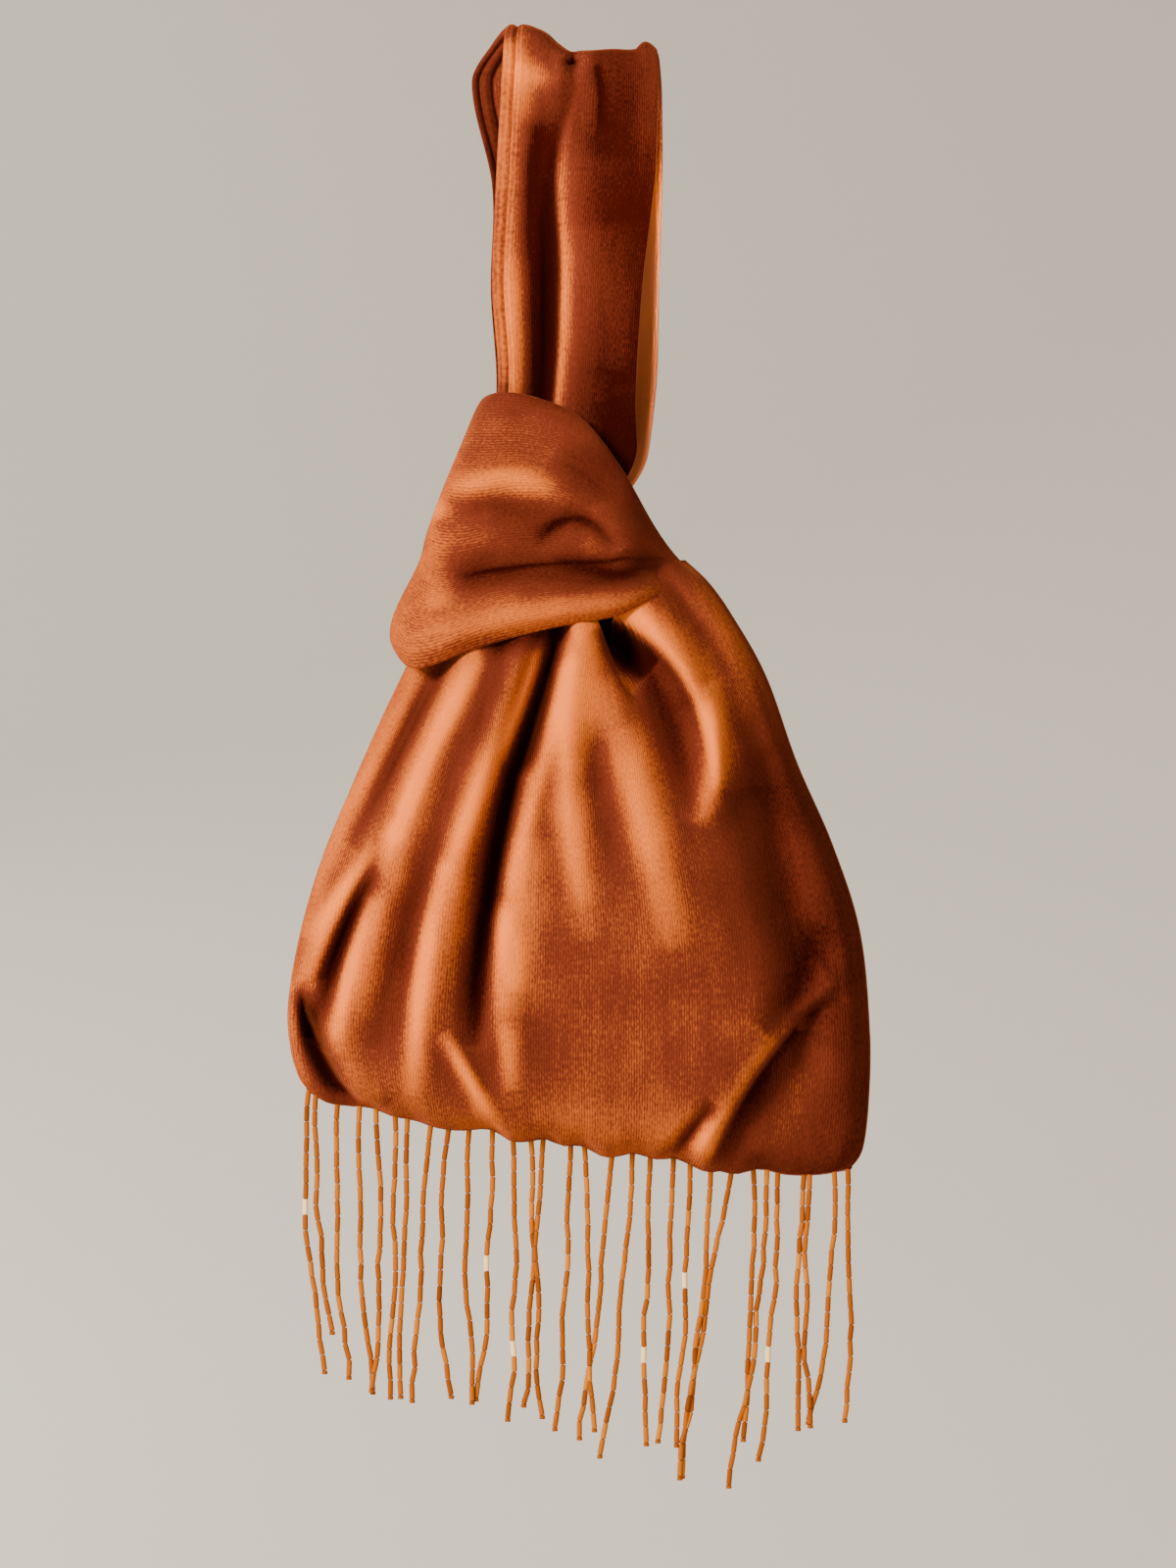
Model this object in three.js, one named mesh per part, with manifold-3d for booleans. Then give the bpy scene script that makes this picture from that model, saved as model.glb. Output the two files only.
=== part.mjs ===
// Knot bag: a gathered velvet pouch whose long handle is drawn up through its short handle, with strands
// of bugle beads hanging from the bottom seam. Millimetres, +Z up, the front faces -Y.
// The origin is the point inside the crest of the long handle where the bag hangs.

import * as THREE from "three";
import { ParametricGeometry } from "three/addons/geometries/ParametricGeometry.js";
import { mergeVertices } from "three/addons/utils/BufferGeometryUtils.js";
import manifoldModule from "manifold-3d";

// Sizes

const POUCH_WALL = 2.0;
const HANDLE_WALL = 2.4;
const PIECE_GAP = 0.45;
const JOIN_GAP = 1.4;

const FRONT_COLUMNS = 34;
const BACK_COLUMNS = 20;
const POUCH_ROWS = 22;

const STRAND_RADIUS = 0.95;
const STRAND_SIDES = 5;
const STRAND_STEPS = 6;
const HEADING_RADIUS = 0.8;
const HEADING_STEPS = 16;
const HEADING_BENDS = 9;

// Handles: grid, and the stretches of the mouth edge that carry them, as shares of the width from the left seam
const LONG_HANDLE = {
  columns: 12,
  rows: 44,
  front: { from: 0.05, to: 0.6 },
  back: { from: 0.05, to: 0.66 },
};
const SHORT_HANDLE = {
  columns: 9,
  rows: 34,
  front: { from: 0.985, to: 0.875 },
  back: { from: 0.985, to: 0.88 },
};

// The dip of the mouth edge at the front, to the right of the gathers
const MOUTH_DIP = { middle: 0.765, halfWidth: 0.1, depth: 36, from: 0.6 };

// Folds of the pouch fade out towards the side seams and the bottom one, as shares of width and height
const FOLD_FADE = { side: 0.08, bottom: 0.1 };
// How much closer columns stand near the side seams
const SEAM_CROWDING = 0.05;
// Stretch of the long handle that turns over at the crest, and its sag between the two sides,
// where the strap lies in the bend of its hanger
const CREST_TURN = { from: 0.44, to: 0.56 };
const CREST_SAG = { depth: 9.5, reach: 0.13 };
// Share of a handle's length over which its ends are drawn to the mouth edge
const JOIN_REACH = 0.14;
// Points closer than this are one point
const MERGE = 1e-4;
// Step for slopes, as a share of a surface's length or width
const PROBE = 0.004;
const FOLD_STEPS = 12;

// Tables: the first column, at, runs from 0 at one end to 1 at the other

const table = (columns, rows) =>
  rows.map((row) => Object.fromEntries(columns.map((name, i) => [name, row[i]])));

// Pouch from the bottom seam to the mouth: both side seams and how far the front and back stand out
const POUCH_SECTIONS = table(["at", "leftX", "leftZ", "rightX", "rightZ", "front", "back", "sag"], [
  [0.0, -101, -372, 98, -401, 0, 0, 7],
  [0.04, -103.5, -367, 101.5, -394, 15, 11, 7],
  [0.1, -106, -358, 103.5, -378, 24, 17, 6],
  [0.19, -107, -343, 104, -353, 31, 22, 5],
  [0.32, -103, -318, 100.5, -316, 37, 26, 3],
  [0.46, -95, -290, 90.5, -284, 39, 27, 1],
  [0.6, -84, -263, 77.5, -254, 36, 25, 0],
  [0.74, -73, -238, 62.5, -222, 30, 22, 0],
  [0.87, -63, -217, 49.5, -199, 24, 19, 0],
  [1.0, -55, -199, 35.5, -178.5, 18, 16, 0],
]);

// Share of the standing-out across the pouch, from the left seam to the right one
const POUCH_ACROSS = table(["at", "front", "back"], [
  [0.0, 0, 0],
  [0.04, 0.4, 0.42],
  [0.14, 0.72, 0.72],
  [0.3, 0.95, 0.93],
  [0.5, 1.0, 1.0],
  [0.68, 0.95, 0.97],
  [0.8, 0.74, 0.83],
  [0.88, 0.42, 0.65],
  [0.96, 0.32, 0.38],
  [1.0, 0, 0],
]);

// Folds, each along a bow through three points of the front view; a negative rise is a valley
const FOLD_COLUMNS = ["x0", "z0", "x1", "z1", "x2", "z2", "width", "rise"];
const FRONT_FOLDS = table(FOLD_COLUMNS, [
  [-36, -200, -65, -278, -92, -356, 7, 7],
  [-46, -205, -76, -270, -100, -326, 6, -7],
  [-13, -190, -46, -285, -60, -382, 12, 7],
  [-7, -190, -33, -276, -37, -372, 7, -13],
  [-3, -190, -26, -275, -26, -375, 6, 5],
  [2, -190, -4, -258, 0, -310, 6, 3],
  [28, -180, 42, -224, 49, -272, 9, 8],
  [19, -196, 27, -232, 38, -268, 10, -10],
  [92, -330, 69, -358, 46, -392, 9, 6],
  [94, -342, 75, -368, 54, -400, 9, -6],
  [70, -278, 79, -312, 86, -338, 8, -5],
  [-103, -330, -98, -356, -86, -380, 8, -9],
]);
const BACK_FOLDS = table(FOLD_COLUMNS, [
  [-24, -190, -46, -268, -62, -350, 12, 6],
  [-10, -190, -20, -265, -32, -350, 8, -8],
  [4, -190, 2, -270, -4, -360, 11, 6],
  [16, -190, 24, -268, 34, -350, 8, -8],
  [26, -185, 46, -262, 62, -350, 11, 5],
]);

// Long handle from its foot on the front, up over the crest, to its foot on the back
const LONG_HANDLE_SECTIONS = table(["at", "leftX", "leftZ", "rightX", "rightZ", "y", "pleat"], [
  [0.0, -51, -198, 6, -186, -15, 0.2],
  [0.09, -39, -160, 18, -158, -12, 0.9],
  [0.18, -30.5, -120, 22.5, -120, -11.5, 1.1],
  [0.27, -32.5, -80, 25, -80, -13, 1.0],
  [0.36, -31, -42, 26.5, -42, -13, 0.8],
  [0.44, -29, -5, 27.5, -7, -11.5, 0.5],
  [0.47, -28.3, 9, 27, 5, -7, 0.4],
  [0.5, -28, 13, 26.5, 8, 0, 0.35],
  [0.53, -33, 9, 28, 5, 7, 0.35],
  [0.56, -40.5, -4, 29, -7, 11.5, 0.35],
  [0.64, -35.5, -42, 29, -42, 13, 0.6],
  [0.73, -34.5, -80, 28.5, -80, 13, 0.7],
  [0.82, -31.5, -120, 25, -120, 12, 0.7],
  [0.91, -38, -160, 20, -158, 12, 0.5],
  [1.0, -51, -198, 8, -186, 14.5, 0.2],
]);
const LONG_HANDLE_PLEAT = table(["at", "rise"], [
  [0.0, -1.5],
  [0.1, 2.2],
  [0.2, 2.6],
  [0.36, -4.5],
  [0.52, 3.6],
  [0.64, 2.4],
  [0.85, -0.5],
  [1.0, -3.5],
]);

// Short handle from the right shoulder at the front, round the fold on the left, to the shoulder at the back
const SHORT_HANDLE_SECTIONS = table(["at", "topX", "topY", "topZ", "lowX", "lowY", "lowZ", "roll"], [
  [0.0, 33.5, -5, -177, 25.5, -20, -190, 0.3],
  [0.1, 21, -17, -158, 9, -29, -199, 0.9],
  [0.21, 1, -20, -131, -12, -29, -203, 1.0],
  [0.32, -17, -19.5, -122, -37, -28, -209, 1.0],
  [0.42, -31, -18.5, -120, -62, -22, -218, 0.7],
  [0.49, -36, 0, -121, -70, -3, -209, 0.3],
  [0.56, -31, 18.5, -121, -61, 19, -213, 0.5],
  [0.67, -13, 20.5, -126, -35, 26.5, -208, 0.7],
  [0.79, 4, 20, -136, -8, 28.5, -204, 0.7],
  [0.9, 20, 17, -157, 9, 30, -190, 0.6],
  [1.0, 33.5, 4, -177, 25, 11, -181, 0.3],
]);
const SHORT_HANDLE_ROLL = table(["at", "rise"], [
  [0.0, -1.5],
  [0.14, 1.6],
  [0.42, 3.4],
  [0.6, 1.0],
  [0.72, -2.0],
  [0.86, 3.2],
  [1.0, -2.0],
]);

// Strands of beads from left to right: place on the seam, sideways shift of the middle and the tip, length
const STRANDS = table(["x", "middle", "tip", "drop"], [
  [-100, -0.5, 7, 102],
  [-97.5, 1, 5.5, 86],
  [-89.5, 0, 4, 99],
  [-81.5, 0.5, 4.5, 104],
  [-75.5, 1.5, -1, 102],
  [-68.5, -0.5, -2, 102],
  [-64, -1.5, -2.5, 101],
  [-55.5, -4, -6.5, 100],
  [-49, -3, 0, 97],
  [-41.5, -1, 2, 99],
  [-33, -1.5, -5, 98],
  [-25.5, 0.5, -1.5, 101],
  [-19, 0.5, -2.5, 96],
  [-14.5, -2.5, -1, 101],
  [-4.5, -2, -5, 103],
  [0.5, 1.5, 3, 103],
  [10.5, -5, -11.5, 102],
  [18, -4, -11.5, 110],
  [24.5, -1.5, -2.5, 104],
  [33, -2, -5, 103],
  [39, -2, -5, 102],
  [46.5, -4, -11.5, 111],
  [54, -10.5, -19, 110],
  [62, -0.5, -4, 98],
  [67, -4, -14, 115],
  [71, -2, -7, 104],
  [80.5, -2.5, -1.5, 92],
  [82.5, -1.5, 0, 91],
  [91.5, -1.5, -9, 91],
  [96.5, 0.5, 0, 91],
]);

// Colours
const VELVET = { name: "velvet", color: 0xa54b23, roughness: 0.85 };
const BEADS = { name: "beads", color: 0xb45f14, roughness: 0.2 };

// Reading the tables

const { clamp, lerp, smoothstep } = THREE.MathUtils;

function slope(rows, column, i) {
  const before = rows[Math.max(i - 1, 0)];
  const after = rows[Math.min(i + 1, rows.length - 1)];
  return (after[column] - before[column]) / (after.at - before.at);
}

// The value of a column at a place, on a smooth curve through the rows
function along(rows, column, at) {
  let i = 0;
  while (i < rows.length - 2 && at > rows[i + 1].at) {
    i += 1;
  }
  const span = rows[i + 1].at - rows[i].at;
  const t = clamp((at - rows[i].at) / span, 0, 1);
  const leaving = slope(rows, column, i) * span;
  const arriving = slope(rows, column, i + 1) * span;
  const step = t * t * (3 - 2 * t);
  const ends = rows[i][column] * (1 - step) + rows[i + 1][column] * step;
  return ends + leaving * t * (1 - t) * (1 - t) - arriving * t * t * (1 - t);
}

// The bow of a fold through its three points, as points of the front view
function foldPath({ x0, z0, x1, z1, x2, z2 }) {
  const pull = new THREE.Vector2(2 * x1 - (x0 + x2) / 2, 2 * z1 - (z0 + z2) / 2);
  const bow = new THREE.QuadraticBezierCurve(new THREE.Vector2(x0, z0), pull, new THREE.Vector2(x2, z2));
  return bow.getPoints(FOLD_STEPS);
}

// How far a point of the front view is from a fold, and how far along the fold that is
function nearestOnFold(path, place) {
  const best = { distance: Infinity, along: 0 };
  for (let i = 0; i < FOLD_STEPS; i += 1) {
    const run = path[i + 1].clone().sub(path[i]);
    const t = clamp(place.clone().sub(path[i]).dot(run) / run.lengthSq(), 0, 1);
    const distance = path[i].clone().addScaledVector(run, t).distanceTo(place);
    if (distance < best.distance) {
      best.distance = distance;
      best.along = (i + t) / FOLD_STEPS;
    }
  }
  return best;
}

// Sum of the rises of all folds at a point of the front view; each fold fades out at both ends
function foldRise(folds, x, z) {
  const place = new THREE.Vector2(x, z);
  let sum = 0;
  for (const fold of folds) {
    fold.path ??= foldPath(fold);
    const nearest = nearestOnFold(fold.path, place);
    const away = nearest.distance / fold.width;
    const fade = Math.sqrt(Math.max(0, Math.sin(Math.PI * nearest.along)));
    sum += fold.rise * fade * Math.exp(-away * away);
  }
  return sum;
}

// Closed solids from rings of points

function closedSolid(columns, rows, pointAt) {
  const ring = (u, v, target) => target.copy(pointAt(Math.round(u * columns) % columns, Math.round(v * rows)));
  const raw = new ParametricGeometry(ring, columns, rows);
  raw.deleteAttribute("normal");
  raw.deleteAttribute("uv");
  const merged = mergeVertices(raw, MERGE);
  const corners = merged.getIndex().array;
  const kept = [];
  for (let i = 0; i < corners.length; i += 3) {
    const [a, b, c] = corners.slice(i, i + 3);
    if (a !== b && b !== c && c !== a) {
      kept.push(a, b, c);
    }
  }
  merged.setIndex(kept);
  merged.computeVertexNormals();
  return merged;
}

// Unit normal of a surface given as a function of two parameters
function normalOf(surface, a, b) {
  const alongA = surface(a + PROBE, b).sub(surface(a - PROBE, b));
  const alongB = surface(a, b + PROBE).sub(surface(a, b - PROBE));
  return alongA.cross(alongB).normalize();
}

// Pouch

const FRONT = { sign: -1, column: "front", folds: FRONT_FOLDS };
const BACK = { sign: 1, column: "back", folds: BACK_FOLDS };

function mouthDip(across, up) {
  const away = (across - MOUTH_DIP.middle) / MOUTH_DIP.halfWidth;
  return MOUTH_DIP.depth * Math.exp(-away * away) * smoothstep(up, MOUTH_DIP.from, 1);
}

// A point of the middle of the cloth: across from the left seam to the right one, up from the bottom seam
function panelPoint(side, across, up) {
  const row = (column) => along(POUCH_SECTIONS, column, up);
  const x = lerp(row("leftX"), row("rightX"), across);
  const dip = side === FRONT ? mouthDip(across, up) : 0;
  const z = lerp(row("leftZ"), row("rightZ"), across) - row("sag") * 4 * across * (1 - across) - dip;
  const stand = row(side.column) * along(POUCH_ACROSS, side.column, across);
  const sideFade = smoothstep(Math.min(across, 1 - across), 0, FOLD_FADE.side);
  const fade = sideFade * smoothstep(up, 0, FOLD_FADE.bottom);
  return new THREE.Vector3(x, side.sign * (stand + fade * foldRise(side.folds, x, z)), z);
}

// The same all round: 0 to 1 across the front, 1 to 2 back across the back
function pouchPoint(round, up) {
  const turn = THREE.MathUtils.euclideanModulo(round, 2);
  return turn <= 1 ? panelPoint(FRONT, turn, up) : panelPoint(BACK, 2 - turn, up);
}

// Columns stand closer together near the side seams
const spread = (share) => share - SEAM_CROWDING * Math.sin(2 * Math.PI * share);

// Place of a column round the pouch; along the bottom seam the front takes only as many stops as the back
function pouchRound(column, frontStops) {
  if (column >= FRONT_COLUMNS) {
    return 1 + spread((column - FRONT_COLUMNS) / BACK_COLUMNS);
  }
  return spread(Math.round((column / FRONT_COLUMNS) * frontStops) / frontStops);
}

function buildPouch() {
  const columns = FRONT_COLUMNS + BACK_COLUMNS;
  const rows = 2 * POUCH_ROWS + 1;
  const pointAt = (i, j) => {
    const outer = j <= POUCH_ROWS;
    const up = (outer ? j : rows - j) / POUCH_ROWS;
    const round = pouchRound(i, up === 0 ? BACK_COLUMNS : FRONT_COLUMNS);
    const point = pouchPoint(round, up);
    const halfWall = (outer ? 1 : -1) * (POUCH_WALL / 2);
    if (up === 0) {
      return point.setZ(point.z - halfWall);
    }
    return point.addScaledVector(normalOf(pouchPoint, round, clamp(up, PROBE, 1 - PROBE)), halfWall);
  };
  return closedSolid(columns, rows, pointAt);
}

// Handles: strips with a wall about their middle surface, closed at both ends

// Where on the mouth edge a point of a handle is joined on, and how strongly the joint draws it
function jointOf(handle, at, share) {
  const atFront = at < 0.5;
  const foot = atFront ? handle.front : handle.back;
  const across = lerp(foot.from, foot.to, share);
  return {
    round: atFront ? across : 2 - across,
    end: atFront ? 0 : 1,
    pull: 1 - smoothstep(Math.min(at, 1 - at), 0, JOIN_REACH),
  };
}

// A handle's own shape, drawn over at both ends so that they meet the mouth edge
function joined(own, handle, at, share) {
  const { round, end, pull } = jointOf(handle, at, share);
  const edge = pouchPoint(round, 1);
  const rise = edge.clone().sub(pouchPoint(round, 1 - 3 * PROBE)).normalize();
  edge.addScaledVector(rise, JOIN_GAP);
  return own(at, share).addScaledVector(edge.sub(own(end, share)), pull);
}

function buildStrip(own, handle) {
  const { columns, rows } = handle;
  const surface = (at, share) => joined(own, handle, at, share);
  const ring = 2 * (columns + 1);
  const pointAt = (i, j) => {
    const near = i <= columns;
    const share = (near ? i : ring - 1 - i) / columns;
    const at = clamp((j - 1) / (rows - 2), 0, 1);
    const closing = j === 0 || j === rows ? 0 : 1;
    const lift = (near ? -1 : 1) * closing * (HANDLE_WALL / 2);
    const normal = normalOf(surface, clamp(at, PROBE, 1 - PROBE), clamp(share, PROBE, 1 - PROBE));
    const { round, pull } = jointOf(handle, at, share);
    const cloth = normalOf(pouchPoint, round, 1 - PROBE);
    normal.lerp(cloth.multiplyScalar(Math.sign(cloth.dot(normal))), pull).normalize();
    return surface(at, share).addScaledVector(normal, lift);
  };
  return closedSolid(ring, rows, pointAt);
}

function longHandleOwn(at, share) {
  const row = (column) => along(LONG_HANDLE_SECTIONS, column, at);
  const overCrest = clamp((at - CREST_TURN.from) / (CREST_TURN.to - CREST_TURN.from), 0, 1);
  const turn = Math.cos(Math.PI * overCrest);
  const pleat = row("pleat") * along(LONG_HANDLE_PLEAT, "rise", share);
  const crest = Math.max(0, 1 - Math.abs(at - 0.5) / CREST_SAG.reach);
  const sag = CREST_SAG.depth * crest * 4 * share * (1 - share);
  const x = lerp(row("leftX"), row("rightX"), share);
  const z = lerp(row("leftZ"), row("rightZ"), share) - sag + pleat * Math.sqrt(1 - turn * turn);
  return new THREE.Vector3(x, row("y") - turn * pleat, z);
}

function shortHandleBase(at, share) {
  const row = (column) => along(SHORT_HANDLE_SECTIONS, column, at);
  const top = new THREE.Vector3(row("topX"), row("topY"), row("topZ"));
  return top.lerp(new THREE.Vector3(row("lowX"), row("lowY"), row("lowZ")), share);
}

function shortHandleOwn(at, share) {
  const outward = normalOf(shortHandleBase, clamp(at, PROBE, 1 - PROBE), share);
  const roll = along(SHORT_HANDLE_SECTIONS, "roll", at) * along(SHORT_HANDLE_ROLL, "rise", share);
  return shortHandleBase(at, share).addScaledVector(outward, roll);
}

// Fringe

const SEAM_DROP = POUCH_WALL / 2 + PIECE_GAP + HEADING_RADIUS;

// A point of the heading under the bottom seam, by its x
function headingPoint(x) {
  const { leftX, rightX } = POUCH_SECTIONS[0];
  const seam = panelPoint(FRONT, (x - leftX) / (rightX - leftX), 0);
  return seam.setZ(seam.z - SEAM_DROP);
}

function tube(points, radius, steps) {
  const corners = Array.from({ length: STRAND_SIDES }, (_, i) => {
    const angle = (2 * Math.PI * i) / STRAND_SIDES;
    return new THREE.Vector2(radius * Math.cos(angle), radius * Math.sin(angle));
  });
  const path = new THREE.CatmullRomCurve3(points);
  return new THREE.ExtrudeGeometry(new THREE.Shape(corners), { steps, extrudePath: path, bevelEnabled: false });
}

function buildFringe({ Manifold, Mesh }) {
  const solidOf = (geometry) => {
    geometry.deleteAttribute("normal");
    geometry.deleteAttribute("uv");
    const merged = mergeVertices(geometry, MERGE);
    return new Manifold(new Mesh({
      numProp: 3,
      vertProperties: new Float32Array(merged.getAttribute("position").array),
      triVerts: new Uint32Array(merged.getIndex().array),
    }));
  };
  const strands = STRANDS.map(({ x, middle, tip, drop }) => {
    const top = headingPoint(x);
    const halfway = new THREE.Vector3(x + middle, 0, top.z - drop / 2);
    const end = new THREE.Vector3(x + tip, 0, top.z - drop);
    return solidOf(tube([top, halfway, end], STRAND_RADIUS, STRAND_STEPS));
  });
  const first = STRANDS[0].x;
  const last = STRANDS[STRANDS.length - 1].x;
  const bends = Array.from({ length: HEADING_BENDS }, (_, i) => {
    return headingPoint(lerp(first, last, i / (HEADING_BENDS - 1)));
  });
  const heading = solidOf(tube(bends, HEADING_RADIUS, HEADING_STEPS));
  const fused = strands.reduce((whole, strand) => whole.add(strand), heading).getMesh();
  const geometry = new THREE.BufferGeometry();
  geometry.setAttribute("position", new THREE.BufferAttribute(new Float32Array(fused.vertProperties), 3));
  geometry.setIndex(new THREE.BufferAttribute(new Uint32Array(fused.triVerts), 1));
  geometry.computeVertexNormals();
  return geometry;
}

// Assembly

function piece(name, geometry, { name: finish, color, roughness }) {
  const material = new THREE.MeshStandardMaterial({ name: finish, color, roughness });
  const mesh = new THREE.Mesh(geometry, material);
  mesh.name = name;
  return mesh;
}

const manifold = await manifoldModule();
manifold.setup();

const bag = new THREE.Group();
bag.name = "knot_bag";
bag.add(
  piece("pouch", buildPouch(), VELVET),
  piece("long_handle", buildStrip(longHandleOwn, LONG_HANDLE), VELVET),
  piece("short_handle", buildStrip(shortHandleOwn, SHORT_HANDLE), VELVET),
  piece("bead_fringe", buildFringe(manifold), BEADS),
);

export default bag;
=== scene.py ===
"""Knot bag in rust velvet with a fringe of bugle beads, hanging by its long handle.

The cloth pieces follow the sizes of the part's source, in millimetres, on a finer grid and with finer folds.
The fringe is strung bead by bead. The front faces -Y and the origin is where the bag hangs.
"""

import logging
from dataclasses import dataclass
from enum import Enum

import bpy
import numpy as np
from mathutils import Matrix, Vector


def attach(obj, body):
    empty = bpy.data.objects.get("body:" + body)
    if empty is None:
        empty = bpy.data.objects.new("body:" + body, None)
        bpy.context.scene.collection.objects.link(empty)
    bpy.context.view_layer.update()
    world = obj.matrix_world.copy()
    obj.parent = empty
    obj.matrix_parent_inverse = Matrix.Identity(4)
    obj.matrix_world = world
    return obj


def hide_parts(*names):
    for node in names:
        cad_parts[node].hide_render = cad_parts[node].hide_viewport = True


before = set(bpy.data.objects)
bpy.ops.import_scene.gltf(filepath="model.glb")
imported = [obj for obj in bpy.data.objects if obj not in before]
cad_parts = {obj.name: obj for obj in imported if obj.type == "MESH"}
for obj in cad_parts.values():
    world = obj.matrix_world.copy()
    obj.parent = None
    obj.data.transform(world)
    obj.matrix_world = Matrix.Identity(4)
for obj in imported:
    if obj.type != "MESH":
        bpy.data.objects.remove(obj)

Array = np.ndarray
Colour = tuple[float, float, float]
Faces = list[tuple[int, ...]]
Socket = bpy.types.NodeSocket

LOG = logging.getLogger("knot_bag")
MM = 0.001
BODY = "root"
MERGE_M = 1e-6
SHORTEST = 1e-9
SLOPE_STEP = 0.004
SHARP_EDGE = np.radians(40)
BACKWARDS = (0.0, 1.0, 0.0)

# Values of the painted light and shade: none on smooth cloth, a full painted highlight, and the palest
# painted light, given to a strip that lies in shadow
NO_PAINTED_LIGHT = 0.5
FULL_PAINTED_HIGHLIGHT = 1.0
PALEST_PAINTED_LIGHT = 1.4

# Shades of the brightest plain bead and of a bead with a painted glint
BRIGHT_BEAD = 0.9
PAINTED_GLINT_SHADE = 1.0

# A wave texture of this scale has one band a metre, and patterns vary about this value
ONE_BAND_A_METRE = np.pi / 10
PATTERN_MIDDLE = 0.5


# Tables and folds


@dataclass(frozen=True)
class Table:
    """Rows of named columns, read as smooth curves over the column called at."""

    columns: str
    rows: tuple[tuple[float, ...], ...]

    def column(self, name: str) -> Array:
        """Give one column as an array."""
        place = self.columns.split().index(name)
        return np.array([row[place] for row in self.rows])

    def read(self, name: str, at: Array) -> Array:
        """Read a column on a smooth curve through the rows.

        Args:
            name: the column.
            at: the places to read it at.

        Returns:
            The values, in the shape of the places.
        """
        places = self.column("at")
        values = self.column(name)
        last = len(places) - 1
        before = np.maximum(np.arange(last + 1) - 1, 0)
        after = np.minimum(np.arange(last + 1) + 1, last)
        slopes = (values[after] - values[before]) / (places[after] - places[before])
        i = np.clip(np.searchsorted(places, at) - 1, 0, last - 1)
        span = places[i + 1] - places[i]
        t = np.clip((at - places[i]) / span, 0, 1)
        step = smooth(t)
        ends = values[i] * (1 - step) + values[i + 1] * step
        return ends + slopes[i] * span * t * (1 - t) ** 2 - slopes[i + 1] * span * t**2 * (1 - t)


@dataclass(frozen=True)
class Folds:
    """Folds, each along a bow through three points of the front view.

    A row holds x and z of the start, the middle and the end, the widths to the left and right, and the rise.
    A higher crest makes the top flatter and the sides steeper. The reach is where a fold ends, in widths.
    """

    rows: tuple[tuple[float, ...], ...]
    steps: int = 18
    crest: float = 2.0
    reach: float = 3.2

    def rise(self, x: Array, z: Array) -> Array:
        """Sum the rises of all folds at points of the front view.

        Args:
            x: places to the right, in millimetres.
            z: places upwards, in millimetres.

        Returns:
            How far the cloth stands out at each point; valleys are negative.
        """
        total = np.zeros_like(x)
        for row in self.rows:
            points = np.array(row[:6]).reshape(3, 2)
            margin = self.reach * max(row[6], row[7])
            low = points.min(axis=0) - margin
            high = points.max(axis=0) + margin
            near = (x > low[0]) & (x < high[0]) & (z > low[1]) & (z < high[1])
            total[near] += self.one(row, x[near], z[near])
        return total

    def one(self, row: tuple[float, ...], x: Array, z: Array) -> Array:
        """Give the rise of one fold, which fades out at both ends.

        Args:
            row: three points, the widths to the left and right, and the rise.
            x: places to the right.
            z: places upwards.

        Returns:
            The fold's rise at each point.
        """
        start, middle, end = np.array(row[:6]).reshape(3, 2)
        left, right, rise = row[6:]
        t = np.linspace(0, 1, self.steps + 1)[:, None]
        pull = 2 * middle - (start + end) / 2
        path = start * (1 - t) ** 2 + pull * 2 * t * (1 - t) + end * t**2
        best = np.full(x.shape, np.inf)
        side = np.zeros_like(x)
        along = np.zeros_like(x)
        for i in range(self.steps):
            run = path[i + 1] - path[i]
            dx = x - path[i, 0]
            dz = z - path[i, 1]
            share = np.clip((dx * run[0] + dz * run[1]) / run.dot(run), 0, 1)
            away = np.hypot(dx - share * run[0], dz - share * run[1])
            closer = away < best
            best = np.where(closer, away, best)
            side = np.where(closer, run[0] * dz - run[1] * dx, side)
            along = np.where(closer, (i + share) / self.steps, along)
        width = np.where(side > 0, right, left)
        fade = np.sqrt(np.maximum(np.sin(np.pi * along), 0))
        return rise * fade * np.exp(-((best / width) ** self.crest))


def smooth(t: Array) -> Array:
    """Ease a share from 0 to 1."""
    t = np.clip(t, 0, 1)
    return t * t * (3 - 2 * t)


def mix(a: Array, b: Array, share: Array) -> Array:
    """Go from a to b by a share."""
    return a + (b - a) * share


def bow(share: Array) -> Array:
    """Rise from 0 at both ends to 1 in the middle."""
    return 4 * share * (1 - share)


def onset(at: Array, start: float, length: float) -> Array:
    """Ease from 0 at the start to 1 a length further on."""
    return smooth((at - start) / length)


def unit(vectors: Array) -> Array:
    """Give vectors a length of one."""
    return vectors / np.maximum(np.linalg.norm(vectors, axis=-1, keepdims=True), SHORTEST)


def crowd(count: int, ends: float) -> Array:
    """Give count + 1 shares from 0 to 1, closer together at both ends: evenly for 0, and the most near 1."""
    t = np.linspace(0, 1, count + 1)
    return t - ends * np.sin(2 * np.pi * t) / (2 * np.pi)


def wrap(points: Array, half: Array) -> Array:
    """Turn a strip's middle and half its thickness into a closed round of points, over one face and back."""
    lift = half[..., None] * normals(points)
    return np.concatenate([points - lift, (points + lift)[:, ::-1][:, 1:]], axis=1)


def both_faces(inside: Array, outside: Array) -> Array:
    """Join the values of a strip's two faces in the order of wrap."""
    return np.concatenate([inside, outside[:, ::-1][:, 1:]], axis=1)


def rounded(half: float, edge: Array) -> Array:
    """Give half the thickness of cloth that is rounded off from an edge of 0 in to an edge of 1."""
    return half * np.sqrt(1 - (1 - np.clip(edge, 0, 1)) ** 2)


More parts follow.
